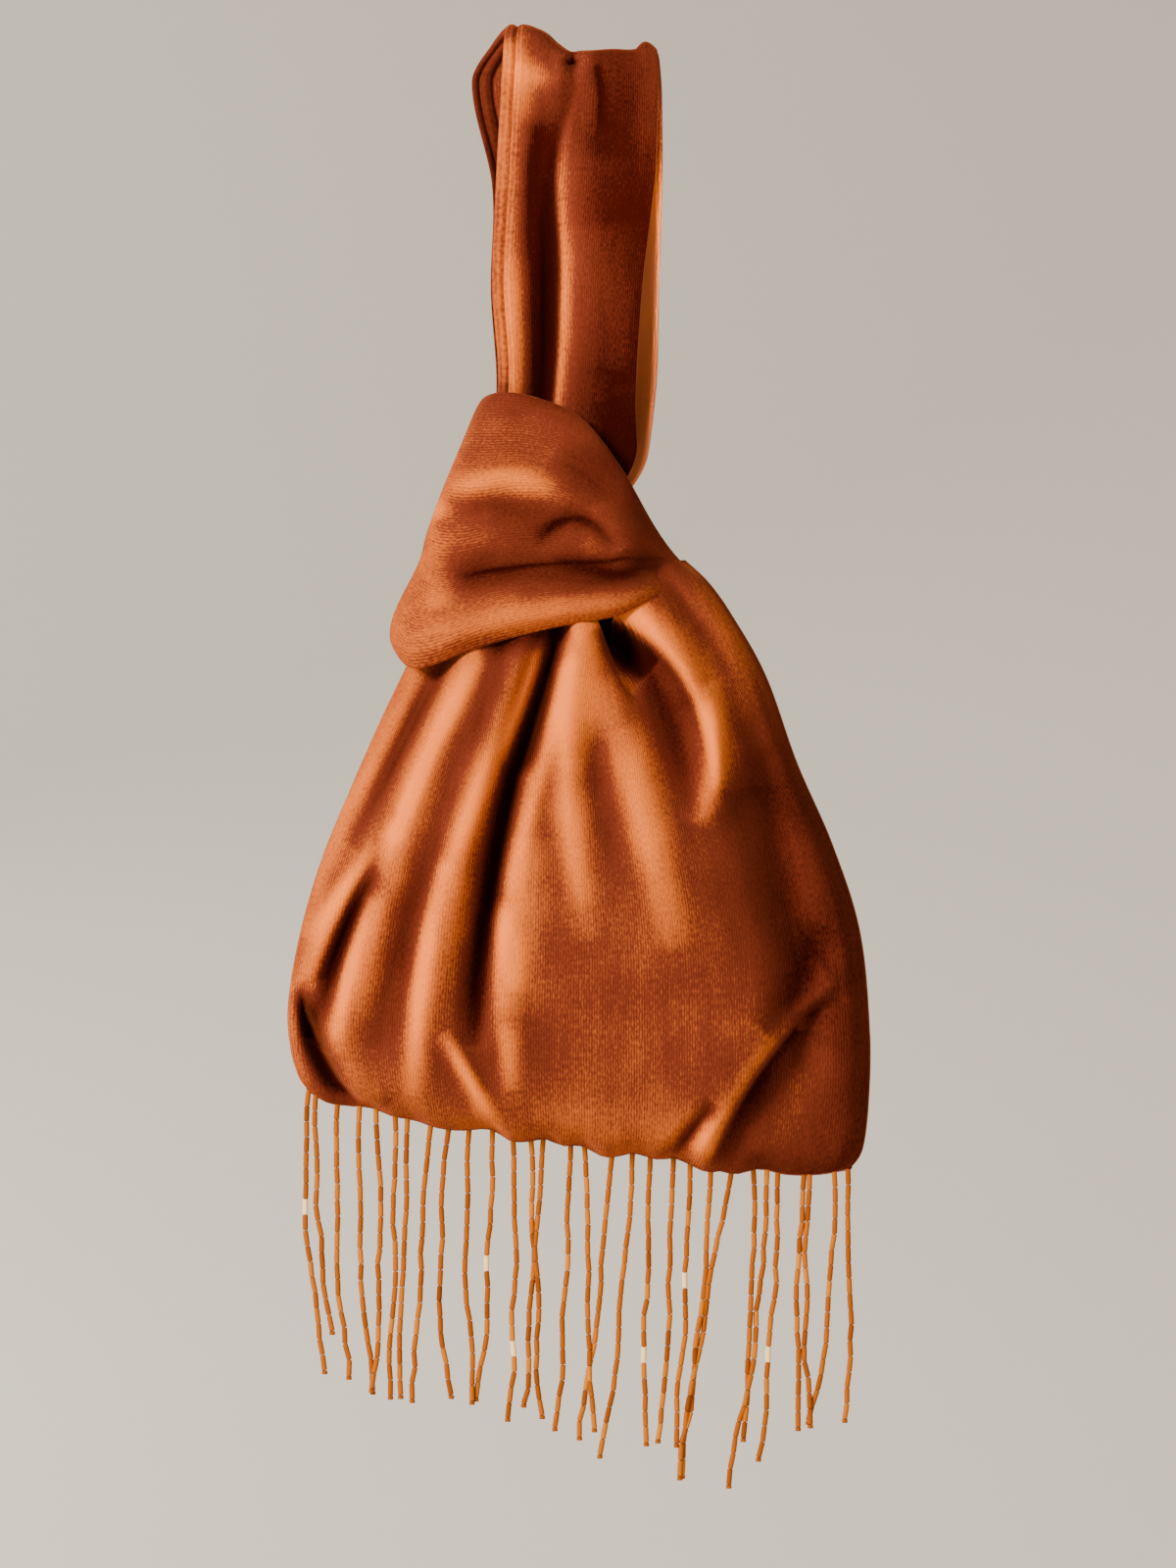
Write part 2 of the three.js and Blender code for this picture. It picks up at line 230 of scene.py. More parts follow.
def painted_fold_light(rise: Array, reach: int, crest: float, whole: float) -> Array:
    """Paint light and shade from the folds' shape: a painted highlight on the crests of folds, less on all
    that stands out, and painted shade in the valleys.

    Args:
        rise: rows by columns, how far the folds stand out.
        reach: how many columns each point compares itself with to each side.
        crest: how far a crest stands over its neighbours when its painted highlight is full.
        whole: how far a fold stands out when its painted highlight is full.

    Returns:
        The painted light for each point: 0 on smooth cloth, above 0 a painted highlight, below 0 painted
            shade.
    """
    width = 2 * reach + 1
    window = np.hanning(width + 2)[1:-1]
    window /= window.sum()
    padded = np.pad(rise, ((0, 0), (reach, reach)), mode="edge")
    around = sum(weight * padded[:, i:i + rise.shape[1]] for i, weight in enumerate(window))
    return (rise - around) / crest + rise / whole


def normals(points: Array) -> Array:
    """Give the unit normals of a grid of points, rows by columns by three."""
    return unit(np.cross(np.gradient(points, axis=1), np.gradient(points, axis=0)))


def quads(rings: int, sides: int, closed: bool) -> Faces:
    """Give the faces between rings of points.

    Args:
        rings: how many rings there are.
        sides: how many points each ring has.
        closed: whether the last ring is joined to the first.

    Returns:
        The corners of each face.
    """
    faces = []
    for i in range(rings if closed else rings - 1):
        n = (i + 1) % rings
        for j in range(sides):
            k = (j + 1) % sides
            faces.append((i * sides + j, i * sides + k, n * sides + k, n * sides + j))
    return faces


# Meshes


def grid_piece(name: str, points: Array, uv: Array, nap: Array) -> bpy.types.Object:
    """Make a piece of cloth from a plain grid by moving its points and sewing its edges together.

    Args:
        name: the piece's name.
        points: rows by columns by three, in millimetres.
        uv: rows by columns by two, the place in the flat cloth in metres.
        nap: rows by columns, the painted light and shade, none at the middle value.

    Returns:
        The new object.
    """
    rows, columns = points.shape[:2]
    bpy.ops.object.select_all(action="DESELECT")
    bpy.ops.mesh.primitive_grid_add(x_subdivisions=columns - 1, y_subdivisions=rows - 1, size=1)
    piece = bpy.context.object
    piece.name = name
    piece.data.name = name
    mesh = piece.data
    mesh.vertices.foreach_set("co", (points * MM).astype(np.float32).ravel())
    corners = np.empty(len(mesh.loops), dtype=np.int32)
    mesh.loops.foreach_get("vertex_index", corners)
    mesh.uv_layers[0].data.foreach_set("uv", uv.reshape(-1, 2)[corners].astype(np.float32).ravel())
    # The attribute carries the painted light and shade that the velvet's ramp reads
    painted_light_layer = mesh.attributes.new("nap", "FLOAT", "POINT")
    painted_light_layer.data.foreach_set("value", nap.astype(np.float32).ravel())
    bpy.ops.object.mode_set(mode="EDIT")
    bpy.ops.mesh.select_all(action="SELECT")
    bpy.ops.mesh.remove_doubles(threshold=MERGE_M)
    bpy.ops.mesh.dissolve_degenerate(threshold=MERGE_M)
    bpy.ops.mesh.normals_make_consistent(inside=False)
    bpy.ops.object.mode_set(mode="OBJECT")
    bpy.ops.object.shade_smooth()
    return piece


def joined_piece(name: str, bodies: list[tuple[Array, Faces]], shades: list[float]) -> bpy.types.Object:
    """Make one piece of many small bodies.

    Args:
        name: the piece's name.
        bodies: the points of each body, in millimetres, and its faces.
        shades: a number for each body that the finish reads.

    Returns:
        The new object.
    """
    faces = []
    count = 0
    for body, body_faces in bodies:
        faces += [tuple(corner + count for corner in face) for face in body_faces]
        count += len(body)
    points = np.concatenate([body for body, _ in bodies])
    shade = np.repeat(shades, [len(body) for body, _ in bodies])
    mesh = bpy.data.meshes.new(name)
    mesh.from_pydata((points * MM).tolist(), [], faces)
    # The attribute carries each body's tone; a few beads carry a painted glint
    mesh.attributes.new("nap", "FLOAT", "POINT").data.foreach_set("value", shade.astype(np.float32))
    mesh.update()
    piece = bpy.data.objects.new(name, mesh)
    bpy.context.scene.collection.objects.link(piece)
    bpy.ops.object.select_all(action="DESELECT")
    piece.select_set(True)
    bpy.context.view_layer.objects.active = piece
    bpy.ops.object.shade_smooth_by_angle(angle=SHARP_EDGE)
    return piece


# Finishes


class Follows(Enum):
    """What a pattern follows: the place in the room or the place in the flat cloth."""

    ROOM = "Object"
    CLOTH = "UV"


@dataclass(frozen=True)
class Pattern:
    """A noise in the pile: waves a metre, how close they stand along the cloth, layers and weight."""

    waves: float
    along: float
    layers: float
    weight: float
    follows: Follows = Follows.CLOTH


@dataclass(frozen=True)
class Ribs:
    """Upright ribs in the pile: their pitch, how much they waver, layers, weight and height."""

    pitch_mm: float = 0.9
    wander: float = 1.5
    layers: float = 1.0
    weight: float = 0.1
    height: float = 0.25


class Shader:
    """A material with a Principled shader, and short ways to add nodes to it."""

    def __init__(self, name: str) -> None:
        """Start the material.

        Args:
            name: what it is called.
        """
        self.material = bpy.data.materials.new(name)
        self.material.use_nodes = True
        self.tree = self.material.node_tree
        self.surface = self.tree.nodes["Principled BSDF"]

    def set(self, **values: object) -> None:
        """Set sockets of the shader by name, with underscores for blanks."""
        for name, value in values.items():
            self.surface.inputs[name.replace("_", " ")].default_value = value

    def node(self, kind: str, **values: object) -> bpy.types.Node:
        """Add a node.

        Args:
            kind: the node's type.
            **values: its properties by name.

        Returns:
            The new node.
        """
        node = self.tree.nodes.new(kind)
        for name, value in values.items():
            setattr(node, name, value)
        return node

    def link(self, source: Socket, target: Socket) -> None:
        """Join two sockets."""
        self.tree.links.new(source, target)

    def noise(self, pattern: Pattern) -> Socket:
        """Add a noise pattern.

        Args:
            pattern: its sizes and what it follows.

        Returns:
            The pattern's value, from 0 to 1.
        """
        place = self.node("ShaderNodeTexCoord")
        mapping = self.node("ShaderNodeMapping")
        mapping.inputs["Scale"].default_value = (1.0, pattern.along, 1.0)
        self.link(place.outputs[pattern.follows.value], mapping.inputs["Vector"])
        noise = self.node("ShaderNodeTexNoise")
        noise.inputs["Scale"].default_value = pattern.waves
        noise.inputs["Detail"].default_value = pattern.layers
        self.link(mapping.outputs["Vector"], noise.inputs["Vector"])
        return noise.outputs["Fac"]

    def ribs(self, ribs: Ribs) -> Socket:
        """Add upright ribs in the flat cloth.

        Args:
            ribs: their sizes.

        Returns:
            The pattern's value, from 0 to 1.
        """
        place = self.node("ShaderNodeTexCoord")
        wave = self.node("ShaderNodeTexWave", wave_type="BANDS", bands_direction="X")
        wave.inputs["Scale"].default_value = ONE_BAND_A_METRE / (ribs.pitch_mm * MM)
        wave.inputs["Distortion"].default_value = ribs.wander
        wave.inputs["Detail"].default_value = ribs.layers
        self.link(place.outputs[Follows.CLOTH.value], wave.inputs["Vector"])
        return wave.outputs["Fac"]

    def ramp(self, value: Socket, stops: tuple[tuple[float, tuple], ...]) -> Socket:
        """Turn a value into a colour.

        Args:
            value: the value to read.
            stops: places from 0 to 1, each with its colour.

        Returns:
            The colour.
        """
        ramp = self.node("ShaderNodeValToRGB")
        elements = ramp.color_ramp.elements
        while len(elements) < len(stops):
            elements.new(1.0)
        for element, (place, colour) in zip(elements, stops):
            element.position = place
            element.color = (*colour, 1)
        self.link(value, ramp.inputs["Fac"])
        return ramp.outputs["Color"]

    def math(self, kind: str, first: object, second: object) -> Socket:
        """Add a step that works on two values.

        Args:
            kind: a sum, product or other operation.
            first: a socket or a number.
            second: a socket or a number.

        Returns:
            The result.
        """
        node = self.node("ShaderNodeMath", operation=kind)
        for socket, value in zip(node.inputs, (first, second)):
            if isinstance(value, Socket):
                self.link(value, socket)
            else:
                socket.default_value = value
        return node.outputs["Value"]

    def bump(self, height: Socket, strength: float, depth_mm: float) -> None:
        """Raise the surface a little.

        Args:
            height: the pattern, from 0 to 1.
            strength: how much of it shows.
            depth_mm: how deep it is.
        """
        bump = self.node("ShaderNodeBump")
        bump.inputs["Strength"].default_value = strength
        bump.inputs["Distance"].default_value = depth_mm * MM
        self.link(height, bump.inputs["Height"])
        self.link(bump.outputs["Normal"], self.surface.inputs["Normal"])


@dataclass(frozen=True)
class VelvetFinish:
    """Short pile velvet, finely ribbed, coloured by a ramp from painted shade down in the folds through its
    plain colour to a painted highlight on the crests.
    """

    name: str = "rust_velvet"
    # Ramp colours, in order: painted shade deep in the folds, the velvet's own colour, the painted highlight
    # on crests, and the palest painted light, given to a strip that lies in shadow
    painted_valley_shade: Colour = (0.018, 0.0014, 0.0006)
    middle: Colour = (0.122, 0.0212, 0.0095)
    painted_light: Colour = (0.75, 0.165, 0.018)
    pale: Colour = (0.54, 0.148, 0.054)
    sheen: Colour = (1.0, 0.24, 0.08)
    deepest_painted_shade_at: float = 0.05
    clouds: Pattern = Pattern(38.0, 1.0, 3.0, 0.24, Follows.ROOM)
    brushing: Pattern = Pattern(120.0, 0.25, 2.0, 0.14)
    streaks: Pattern = Pattern(420.0, 0.14, 2.0, 0.12)
    pile: Pattern = Pattern(1400.0, 0.45, 1.0, 0.34)
    ribs: Ribs = Ribs()
    relief: float = 0.7
    relief_mm: float = 0.2
    roughness: float = 0.6
    sheen_weight: float = 0.5
    sheen_roughness: float = 0.3

    def build(self) -> bpy.types.Material:
        """Make the material.

        Returns:
            The finished material.
        """
        shader = Shader(self.name)
        nap = shader.node("ShaderNodeAttribute", attribute_name="nap").outputs["Fac"]
        pile = shader.noise(self.pile)
        ribs = shader.ribs(self.ribs)
        coarse = (self.clouds, self.brushing, self.streaks)
        parts = [(shader.noise(pattern), pattern.weight) for pattern in coarse]
        parts += [(pile, self.pile.weight), (ribs, self.ribs.weight)]
        value = nap
        for pattern, weight in parts:
            around = shader.math("SUBTRACT", pattern, PATTERN_MIDDLE)
            value = shader.math("ADD", value, shader.math("MULTIPLY", around, weight))
        # Painted shade, plain colour, painted highlight and the palest painted light, by the attribute's
        # value
        painted_light_tones = (
            (self.deepest_painted_shade_at, self.painted_valley_shade),
            (NO_PAINTED_LIGHT, self.middle),
            (FULL_PAINTED_HIGHLIGHT, self.painted_light),
            (PALEST_PAINTED_LIGHT, self.pale),
        )
        value = shader.math("DIVIDE", value, PALEST_PAINTED_LIGHT)
        colour = shader.ramp(value, tuple((place / PALEST_PAINTED_LIGHT, tone) for place, tone in painted_light_tones))
        shader.link(colour, shader.surface.inputs["Base Color"])
        height = shader.math("ADD", pile, shader.math("MULTIPLY", ribs, self.ribs.height))
        shader.bump(height, self.relief, self.relief_mm)
        shader.set(
            Roughness=self.roughness,
            Specular_IOR_Level=0.0,
            Sheen_Weight=self.sheen_weight,
            Sheen_Roughness=self.sheen_roughness,
            Sheen_Tint=(*self.sheen, 1),
        )
        return shader.material


@dataclass(frozen=True)
class BeadFinish:
    """Amber glass bugle beads, each a little different in colour, and a few painted pale as a glint."""

    name: str = "amber_beads"
    dark: Colour = (0.15, 0.025, 0.001)
    middle: Colour = (0.31, 0.07, 0.001)
    bright: Colour = (0.52, 0.16, 0.003)
    # Pale colour painted on a few beads as a glint of reflected light
    painted_glint: Colour = (0.9, 0.6, 0.25)
    gloss: Colour = (1.0, 0.6, 0.2)
    roughness: float = 0.25
    specular: float = 0.25
    middle_shade: float = 0.5

    def build(self) -> bpy.types.Material:
        """Make the material.

        Returns:
            The finished material.
        """
        shader = Shader(self.name)
        shade = shader.node("ShaderNodeAttribute", attribute_name="nap").outputs["Fac"]
        stops = (
            (0.0, self.dark),
            (self.middle_shade, self.middle),
            (BRIGHT_BEAD, self.bright),
            (PAINTED_GLINT_SHADE, self.painted_glint),
        )
        shader.link(shader.ramp(shade, stops), shader.surface.inputs["Base Color"])
        shader.set(Roughness=self.roughness, Specular_IOR_Level=self.specular, Specular_Tint=(*self.gloss, 1))
        return shader.material


@dataclass(frozen=True)
class ThreadFinish:
    """Matt thread in the colour of the cloth."""

    name: str = "rust_thread"
    colour: Colour = (0.12, 0.018, 0.005)
    roughness: float = 0.8

    def build(self) -> bpy.types.Material:
        """Make the material.

        Returns:
            The finished material.
        """
        shader = Shader(self.name)
        shader.set(Base_Color=(*self.colour, 1), Roughness=self.roughness)
        return shader.material


class Held(Enum):
    """How a piece of cloth is held."""

    GATHERED = "gathered"
    HUNG = "hung"
    FOLDED = "folded"


@dataclass(frozen=True)
class Cloth:
    """A piece of cloth: its node, its cut size and how it is held."""

    node: str
    flat_m: tuple[float, float]
    held: Held

    def dress(self, piece: bpy.types.Object, material: bpy.types.Material) -> None:
        """Args:
            piece: the finished object.
            material: its finish.
        """
        piece.data.materials.clear()
        piece.data.materials.append(material)
        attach(piece, BODY)
        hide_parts(self.node)
        LOG.info("%s: %d faces", piece.name, len(piece.data.polygons))


# Pouch


@dataclass(frozen=True)
class Pouch:
    """The gathered body of the bag, sewn at the sides and the bottom and open at its mouth."""

    wall: float = 1.4
    front_columns: int = 220
    back_columns: int = 110
    outer_rows: int = 240
    inner_rows: int = 40
    row_crowding: float = 0.7
    column_spread: float = 0.05
    painted_crest_columns: int = 12
    height: float = 220.0
    cloth_m: tuple[float, float] = (0.2, 0.23)
    mouth_dip: tuple[float, float, float, float] = (0.675, 0.055, 30.0, 0.6)
    fold_fade_side: float = 0.03
    fold_fade_bottom: float = 0.05
    # Painted highlight on fold crests and painted shade in valleys, from the folds' shape
    painted_highlight_range: tuple[float, float] = (12.0, 60.0)
    # Painted light across the front: lighter at the left, painted shade towards the right side, which faces
    # away from the key lamp
    painted_light_across: Table = Table("at nap", (
        (0.0, 0.15), (0.1, 0.02), (0.3, -0.06), (0.6, 0.0), (0.72, -0.04), (0.84, -0.16), (0.94, -0.26),
        (1.0, -0.28),
    ))
    # Strokes of painted light: a positive rise is a painted highlight, a negative one painted shade, as in
    # hollows and the painted shadow under the band's roll
    painted_light_tones: Folds = Folds((
        (-38, -212, -58, -258, -76, -300, 3, 3.5, 0.4),
        (-75, -298, -84, -325, -89, -354, 2.5, 3, 0.35),
        (-66, -276, -84, -297, -101, -318, 3.5, 4, 0.3),
        (-73, -292, -84, -312, -97, -348, 4, 4, -0.28),
        (-69, -280, -72, -291, -76, -302, 5, 5, -0.22),
        (-8, -206, -15.5, -232, -21, -256, 3, 3.5, -0.35),
        (-104, -336, -98, -358, -86, -380, 6, 8, -0.45),
        (-20, -280, -22, -310, -23, -345, 6, 9, 0.25),
        (-54, -212, -80, -262, -104, -318, 3, 4, 0.15),
        (-8, -206, -32, -254, -51, -296, 4, 4, 0.35),
        (-49, -288, -57, -322, -61.5, -374, 3, 3.5, 0.42),
        (-8, -216, -4, -237, -8, -256, 7, 9, 0.25),
        (-7, -252, -4, -282, 2, -318, 7, 5, 0.25),
        (10, -242, 23, -280, 32, -320, 6, 10, 0.25),
        (1, -202, 3, -222, 5, -246, 5.5, 5.5, 0.22),
        (16, -198, 35, -214, 50, -246, 5, 7, 0.15),
        (9, -205, 17, -213, 25, -220, 5, 5, -0.4),
        (-32, -302, -26, -322, -25, -336, 3, 4, 0.25),
        (-38, -214, -20, -209, -4, -206, 4, 4, -0.4),
        (-25, -213, -34, -232, -41, -250, 3.5, 3.5, -0.15),
        (-15, -208, -22, -229, -30, -252, 3, 3, 0.1),
        (-34, -211, -43, -229, -52, -246, 2.5, 3, 0.2),
        (-14, -366, 18, -372, 48, -366, 26, 26, 0.05),
        (-28, -346, -27, -358, -26, -372, 3, 4, 0.25),
        (-50, -352, -40, -369, -29, -386, 2.2, 2.5, 0.28),
        (24, -220, 31, -240, 36, -260, 7, 7, -0.12),
        (42, -232, 45, -250, 42, -276, 7, 5, 0.3),
        (40, -204, 51, -222, 56, -246, 4, 4, -0.12),
        (36, -176, 54, -208, 68, -262, 10, 14, 0.28),
        (-72, -378, -50, -384, -20, -390, 6, 6, 0.1),
        (30, -352, 48, -366, 62, -360, 22, 22, -0.1),
        (74, -310, 76, -326, 72, -344, 7, 7, -0.15),
        (88, -356, 78, -376, 66, -398, 9, 8, 0.2),
        (-80, -372, -10, -386, 60, -398, 14, 14, 0.1),
    ))
    lip: Folds = Folds(((0, -197, 35, -216, 51, -264, 4, 13, 9.5),), crest=4.0)
    cloth: Cloth = Cloth("pouch", (0.42, 0.21), Held.GATHERED)
    sections: Table = Table("at leftX leftZ rightX rightZ front back sag", (
        (0.0, -101, -372, 98, -401, 0, 0, 7),
        (0.04, -103.5, -367, 101.5, -394, 15, 11, 7),
        (0.1, -106, -358, 103.5, -378, 24, 17, 6),
        (0.19, -107, -343, 104, -353, 31, 22, 5),
        (0.32, -103, -318, 100.5, -316, 37, 26, 3),
        (0.46, -95, -290, 90.5, -284, 39, 27, 1),
        (0.6, -84, -263, 77.5, -254, 36, 25, 0),
        (0.74, -73, -238, 66, -222, 30, 22, 0),
        (0.87, -63, -217, 53, -199, 24, 19, 0),
        (0.94, -58.7, -207, 45, -188, 21, 17.5, 0),
        (1.0, -55, -199, 36.5, -180, 18, 16, 0),
    ))
    across: Table = Table("at front back", (
        (0.0, 0, 0),
        (0.04, 0.4, 0.42),
        (0.14, 0.72, 0.72),
        (0.3, 0.95, 0.93),
        (0.5, 1.0, 1.0),
        (0.68, 0.95, 0.97),
        (0.8, 0.74, 0.83),
        (0.88, 0.42, 0.65),
        (0.96, 0.32, 0.38),
        (1.0, 0, 0),
    ))
    seam_waves: Table = Table("at lift", (
        (0.0, 0), (0.04, -2.6), (0.08, -1.6), (0.12, -0.3), (0.16, -1.4), (0.2, -1), (0.24, -1.9),
        (0.28, -1.2), (0.34, 1.5), (0.375, -1.3), (0.4, -0.8), (0.44, 1.5), (0.47, 0.1), (0.505, 1.1),
        (0.55, -1.9), (0.6, 0.8), (0.645, -0.4), (0.675, 0.7), (0.7, -0.9), (0.735, -3.4), (0.76, -2.6),
        (0.785, -3.4), (0.83, -1), (0.88, -2.6), (0.94, -2.2), (1.0, 0),
    ))
    seam_wave_reach: float = 0.07
    front_folds: Folds = Folds((
        (-66, -272, -87, -306, -107, -341, 5, 5, 4),
        (-64, -272, -85, -314, -98, -356, 4.5, 5, -8),
        (-34, -198, -66, -278, -88, -360, 6, 9, 8),
        (-42, -202, -64, -246, -84, -284, 5, 4, -8),
        (-24, -198, -50, -280, -74, -358, 6, 7, -5),
        (-12, -194, -43, -270, -62, -380, 8, 8, 7),
        (-6, -195, -27, -270, -39, -356, 6.5, 4, -14),
        (-6, -203, -15, -232, -21, -258, 3, 4, -7),
        (-1, -194, -10.5, -244, -27, -302, 3.5, 9, 5),
        (-32, -306, -28, -334, -26, -378, 4, 8, 3),
        (-8, -250, -13, -268, -17, -288, 4, 4, -1.5),
        (-13, -206, -20, -229, -29, -254, 2.5, 5, 3.5),
        (2, -194, -4.5, -254, 2, -306, 5, 9, 3.6),
        (5, -238, 6, -262, 13, -290, 5, 6, -2),
        (10, -222, 23, -278, 33, -322, 7, 9, 3),
        (8, -203, 15, -212, 24, -222, 5, 5, -10),
        (12, -182, 44, -199, 66, -250, 7, 8, 6),
        (13, -206, 29, -233, 41, -272, 9, 7, -7),
        (44, -226, 48, -248, 42, -278, 4, 7, 5),
        (57, -238, 69, -275, 76, -326, 6, 8, -3),
        (88, -312, 79, -332, 66, -352, 7, 8, -5),
        (91, -332, 62, -361, 42, -402, 24, 3, 6),
        (94, -338, 65, -365, 46, -404, 3, 9, -5),
        (-104, -333, -97, -355, -84, -379, 5, 5, -14),
        (-101, -334, -91, -359, -75, -380, 2.5, 9, 6),
        (-50, -350, -41, -366, -31, -388, 4, 3, 4),
        (48, -376, 38, -388, 29, -400, 3.5, 3.5, -5),
        (47, -382, 43, -394, 42, -406, 3, 3, 3),
    ))
    back_folds: Folds = Folds((
        (-24, -190, -46, -268, -62, -354, 9, 13, 6),
        (-10, -190, -20, -265, -32, -354, 8, 7, -8),
        (4, -190, 2, -270, -4, -366, 9, 11, 6),
        (16, -190, 24, -268, 34, -354, 8, 7, -8),
        (26, -185, 46, -262, 62, -354, 12, 9, 5),
        (-50, -215, -72, -280, -88, -340, 7, 9, -5),
        (44, -205, 66, -268, 80, -330, 8, 7, -5),
    ))

    def panel(self, front: bool, across: Array, up: Array, folded: bool) -> tuple[Array, Array]:
        """Give points of the middle of one panel's cloth.

        Args:
            front: whether it is the front panel.
            across: shares from the left seam to the right one.
            up: shares from the bottom seam to the mouth.
            folded: whether the cloth has its folds.

        Returns:
            The points, and the rise of the folds there.
        """
        def row(name: str) -> Array:
            """Read a column of the sections at these heights."""
            return self.sections.read(name, up)

        side = "front" if front else "back"
        x = mix(row("leftX"), row("rightX"), across)
        z = mix(row("leftZ"), row("rightZ"), across) - row("sag") * bow(across)
        if front:
            middle, half_width, depth, start = self.mouth_dip
            dip = depth * np.exp(-(((across - middle) / half_width) ** 2))
            z = z - dip * onset(up, start, 1 - start)
        z = z + self.seam_waves.read("lift", across) * (1 - smooth(up / self.seam_wave_reach))
        stand = row(side) * self.across.read(side, across)
        from_side = smooth(np.minimum(across, 1 - across) / self.fold_fade_side)
        fade = from_side * smooth(up / self.fold_fade_bottom)
        rise = np.zeros_like(x)
        if folded and front:
            rise = fade * (self.front_folds.rise(x, z) + self.lip.rise(x, z))
        elif folded:
            rise = fade * self.back_folds.rise(x, z)
        y = (-1 if front else 1) * (stand + rise)
        return np.stack([x, y, z], axis=-1), rise

    def middle(self, round_: Array, up: Array, folded: bool = True) -> tuple[Array, Array]:
        """Give points of the middle of the cloth all round.

        Args:
            round_: places round the pouch, 0 to 1 across the front and 1 to 2 back across the back.
            up: shares from the bottom seam to the mouth.
            folded: whether the cloth has its folds.

        Returns:
            The points, and the rise of the folds there.
        """
        turn = np.mod(round_, 2)
        front, front_rise = self.panel(True, np.clip(turn, 0, 1), up, folded)
        back, back_rise = self.panel(False, np.clip(2 - turn, 0, 1), up, folded)
        on_front = turn <= 1
        return np.where(on_front[..., None], front, back), np.where(on_front, front_rise, back_rise)

    def point(self, round_: Array, up: float, folded: bool = True) -> Array:
        """Give points of the middle at one height."""
        return self.middle(round_, np.full_like(round_, up), folded)[0]

    def outside(self, round_: Array, up: float, lift: float) -> tuple[Array, Array]:
        """Give points just outside the cloth without its folds, and the directions in which it rises there.

        Args:
            round_: places round the pouch.
            up: the height, as a share.
            lift: how far outside the middle of the cloth.

        Returns:
            The points and the unit directions.
        """
        here = self.point(round_, up, False)
        rise = unit(here - self.point(round_, up - SLOPE_STEP, False))
        across = self.point(round_ + SLOPE_STEP, up, False) - self.point(round_ - SLOPE_STEP, up, False)
        return here + lift * unit(np.cross(across, rise)), rise

    def rounds(self, stops: int) -> Array:
        """Give the places of the columns round the pouch, the first one repeated at the end.

        Args:
            stops: how many different places the front has.

        Returns:
            Places from 0 to 2.
        """
        share = np.arange(self.front_columns) / self.front_columns
        share = np.round(share * stops) / stops
        spread = share - self.column_spread * np.sin(2 * np.pi * share)
        back = crowd(self.back_columns, self.column_spread * 2 * np.pi)
        return np.concatenate([spread, 1 + back])

    def layer(self, rows: int, outward: float) -> tuple[Array, Array, Array, Array]:
        """Give one face of the cloth, from the bottom seam to the mouth.

        Args:
            rows: how many rows it has.
            outward: 1 for the outer face, -1 for the inner one.

        Returns:
            The points, the rises, and the places round and up.
        """
        heights = crowd(rows, self.row_crowding)
        up, round_ = np.meshgrid(heights, self.rounds(self.front_columns), indexing="ij")
        points, rise = self.middle(round_, up)
        closed = np.concatenate([points[:, -2:-1], points, points[:, 1:2]], axis=1)
        normal = normals(closed)[:, 1:-1]
        half = rounded(self.wall / 2, (1 - up) * self.height / (self.wall / 2))
        points = points + outward * normal * half[..., None]
        seam = self.point(self.rounds(self.back_columns), 0.0)
        seam[:, 2] -= outward * self.wall / 2
        points[0] = seam
        points[:, -1] = points[:, 0]
        return points, rise, round_, up

    def build(self, material: bpy.types.Material) -> None:
        """Make the pouch.

        Args:
            material: its finish.
        """
        outer = self.layer(self.outer_rows, 1.0)
        inner = self.layer(self.inner_rows, -1.0)
        points, rise, round_, up = (np.concatenate([o, i[::-1][1:]]) for o, i in zip(outer, inner))
        uv = np.stack([round_, up], axis=-1) * self.cloth_m
        # Painted light and shade: across the front, in strokes on the front panel, and from the folds' shape
        painted_light = self.painted_light_across.read("nap", np.where(round_ <= 1, round_, 2 - round_))
        painted_light += self.painted_light_tones.rise(points[..., 0], points[..., 2]) * (round_ <= 1)
        nap = NO_PAINTED_LIGHT + painted_light + painted_fold_light(rise, self.painted_crest_columns, *self.painted_highlight_range)
        piece = grid_piece("velvet_pouch", points, uv, np.clip(nap, 0, FULL_PAINTED_HIGHLIGHT))
        self.cloth.dress(piece, material)


# Handles


@dataclass(frozen=True)
class Foot:
    """The stretch of the mouth edge that a handle's end is joined to, as shares of the width."""

    start: float
    stop: float


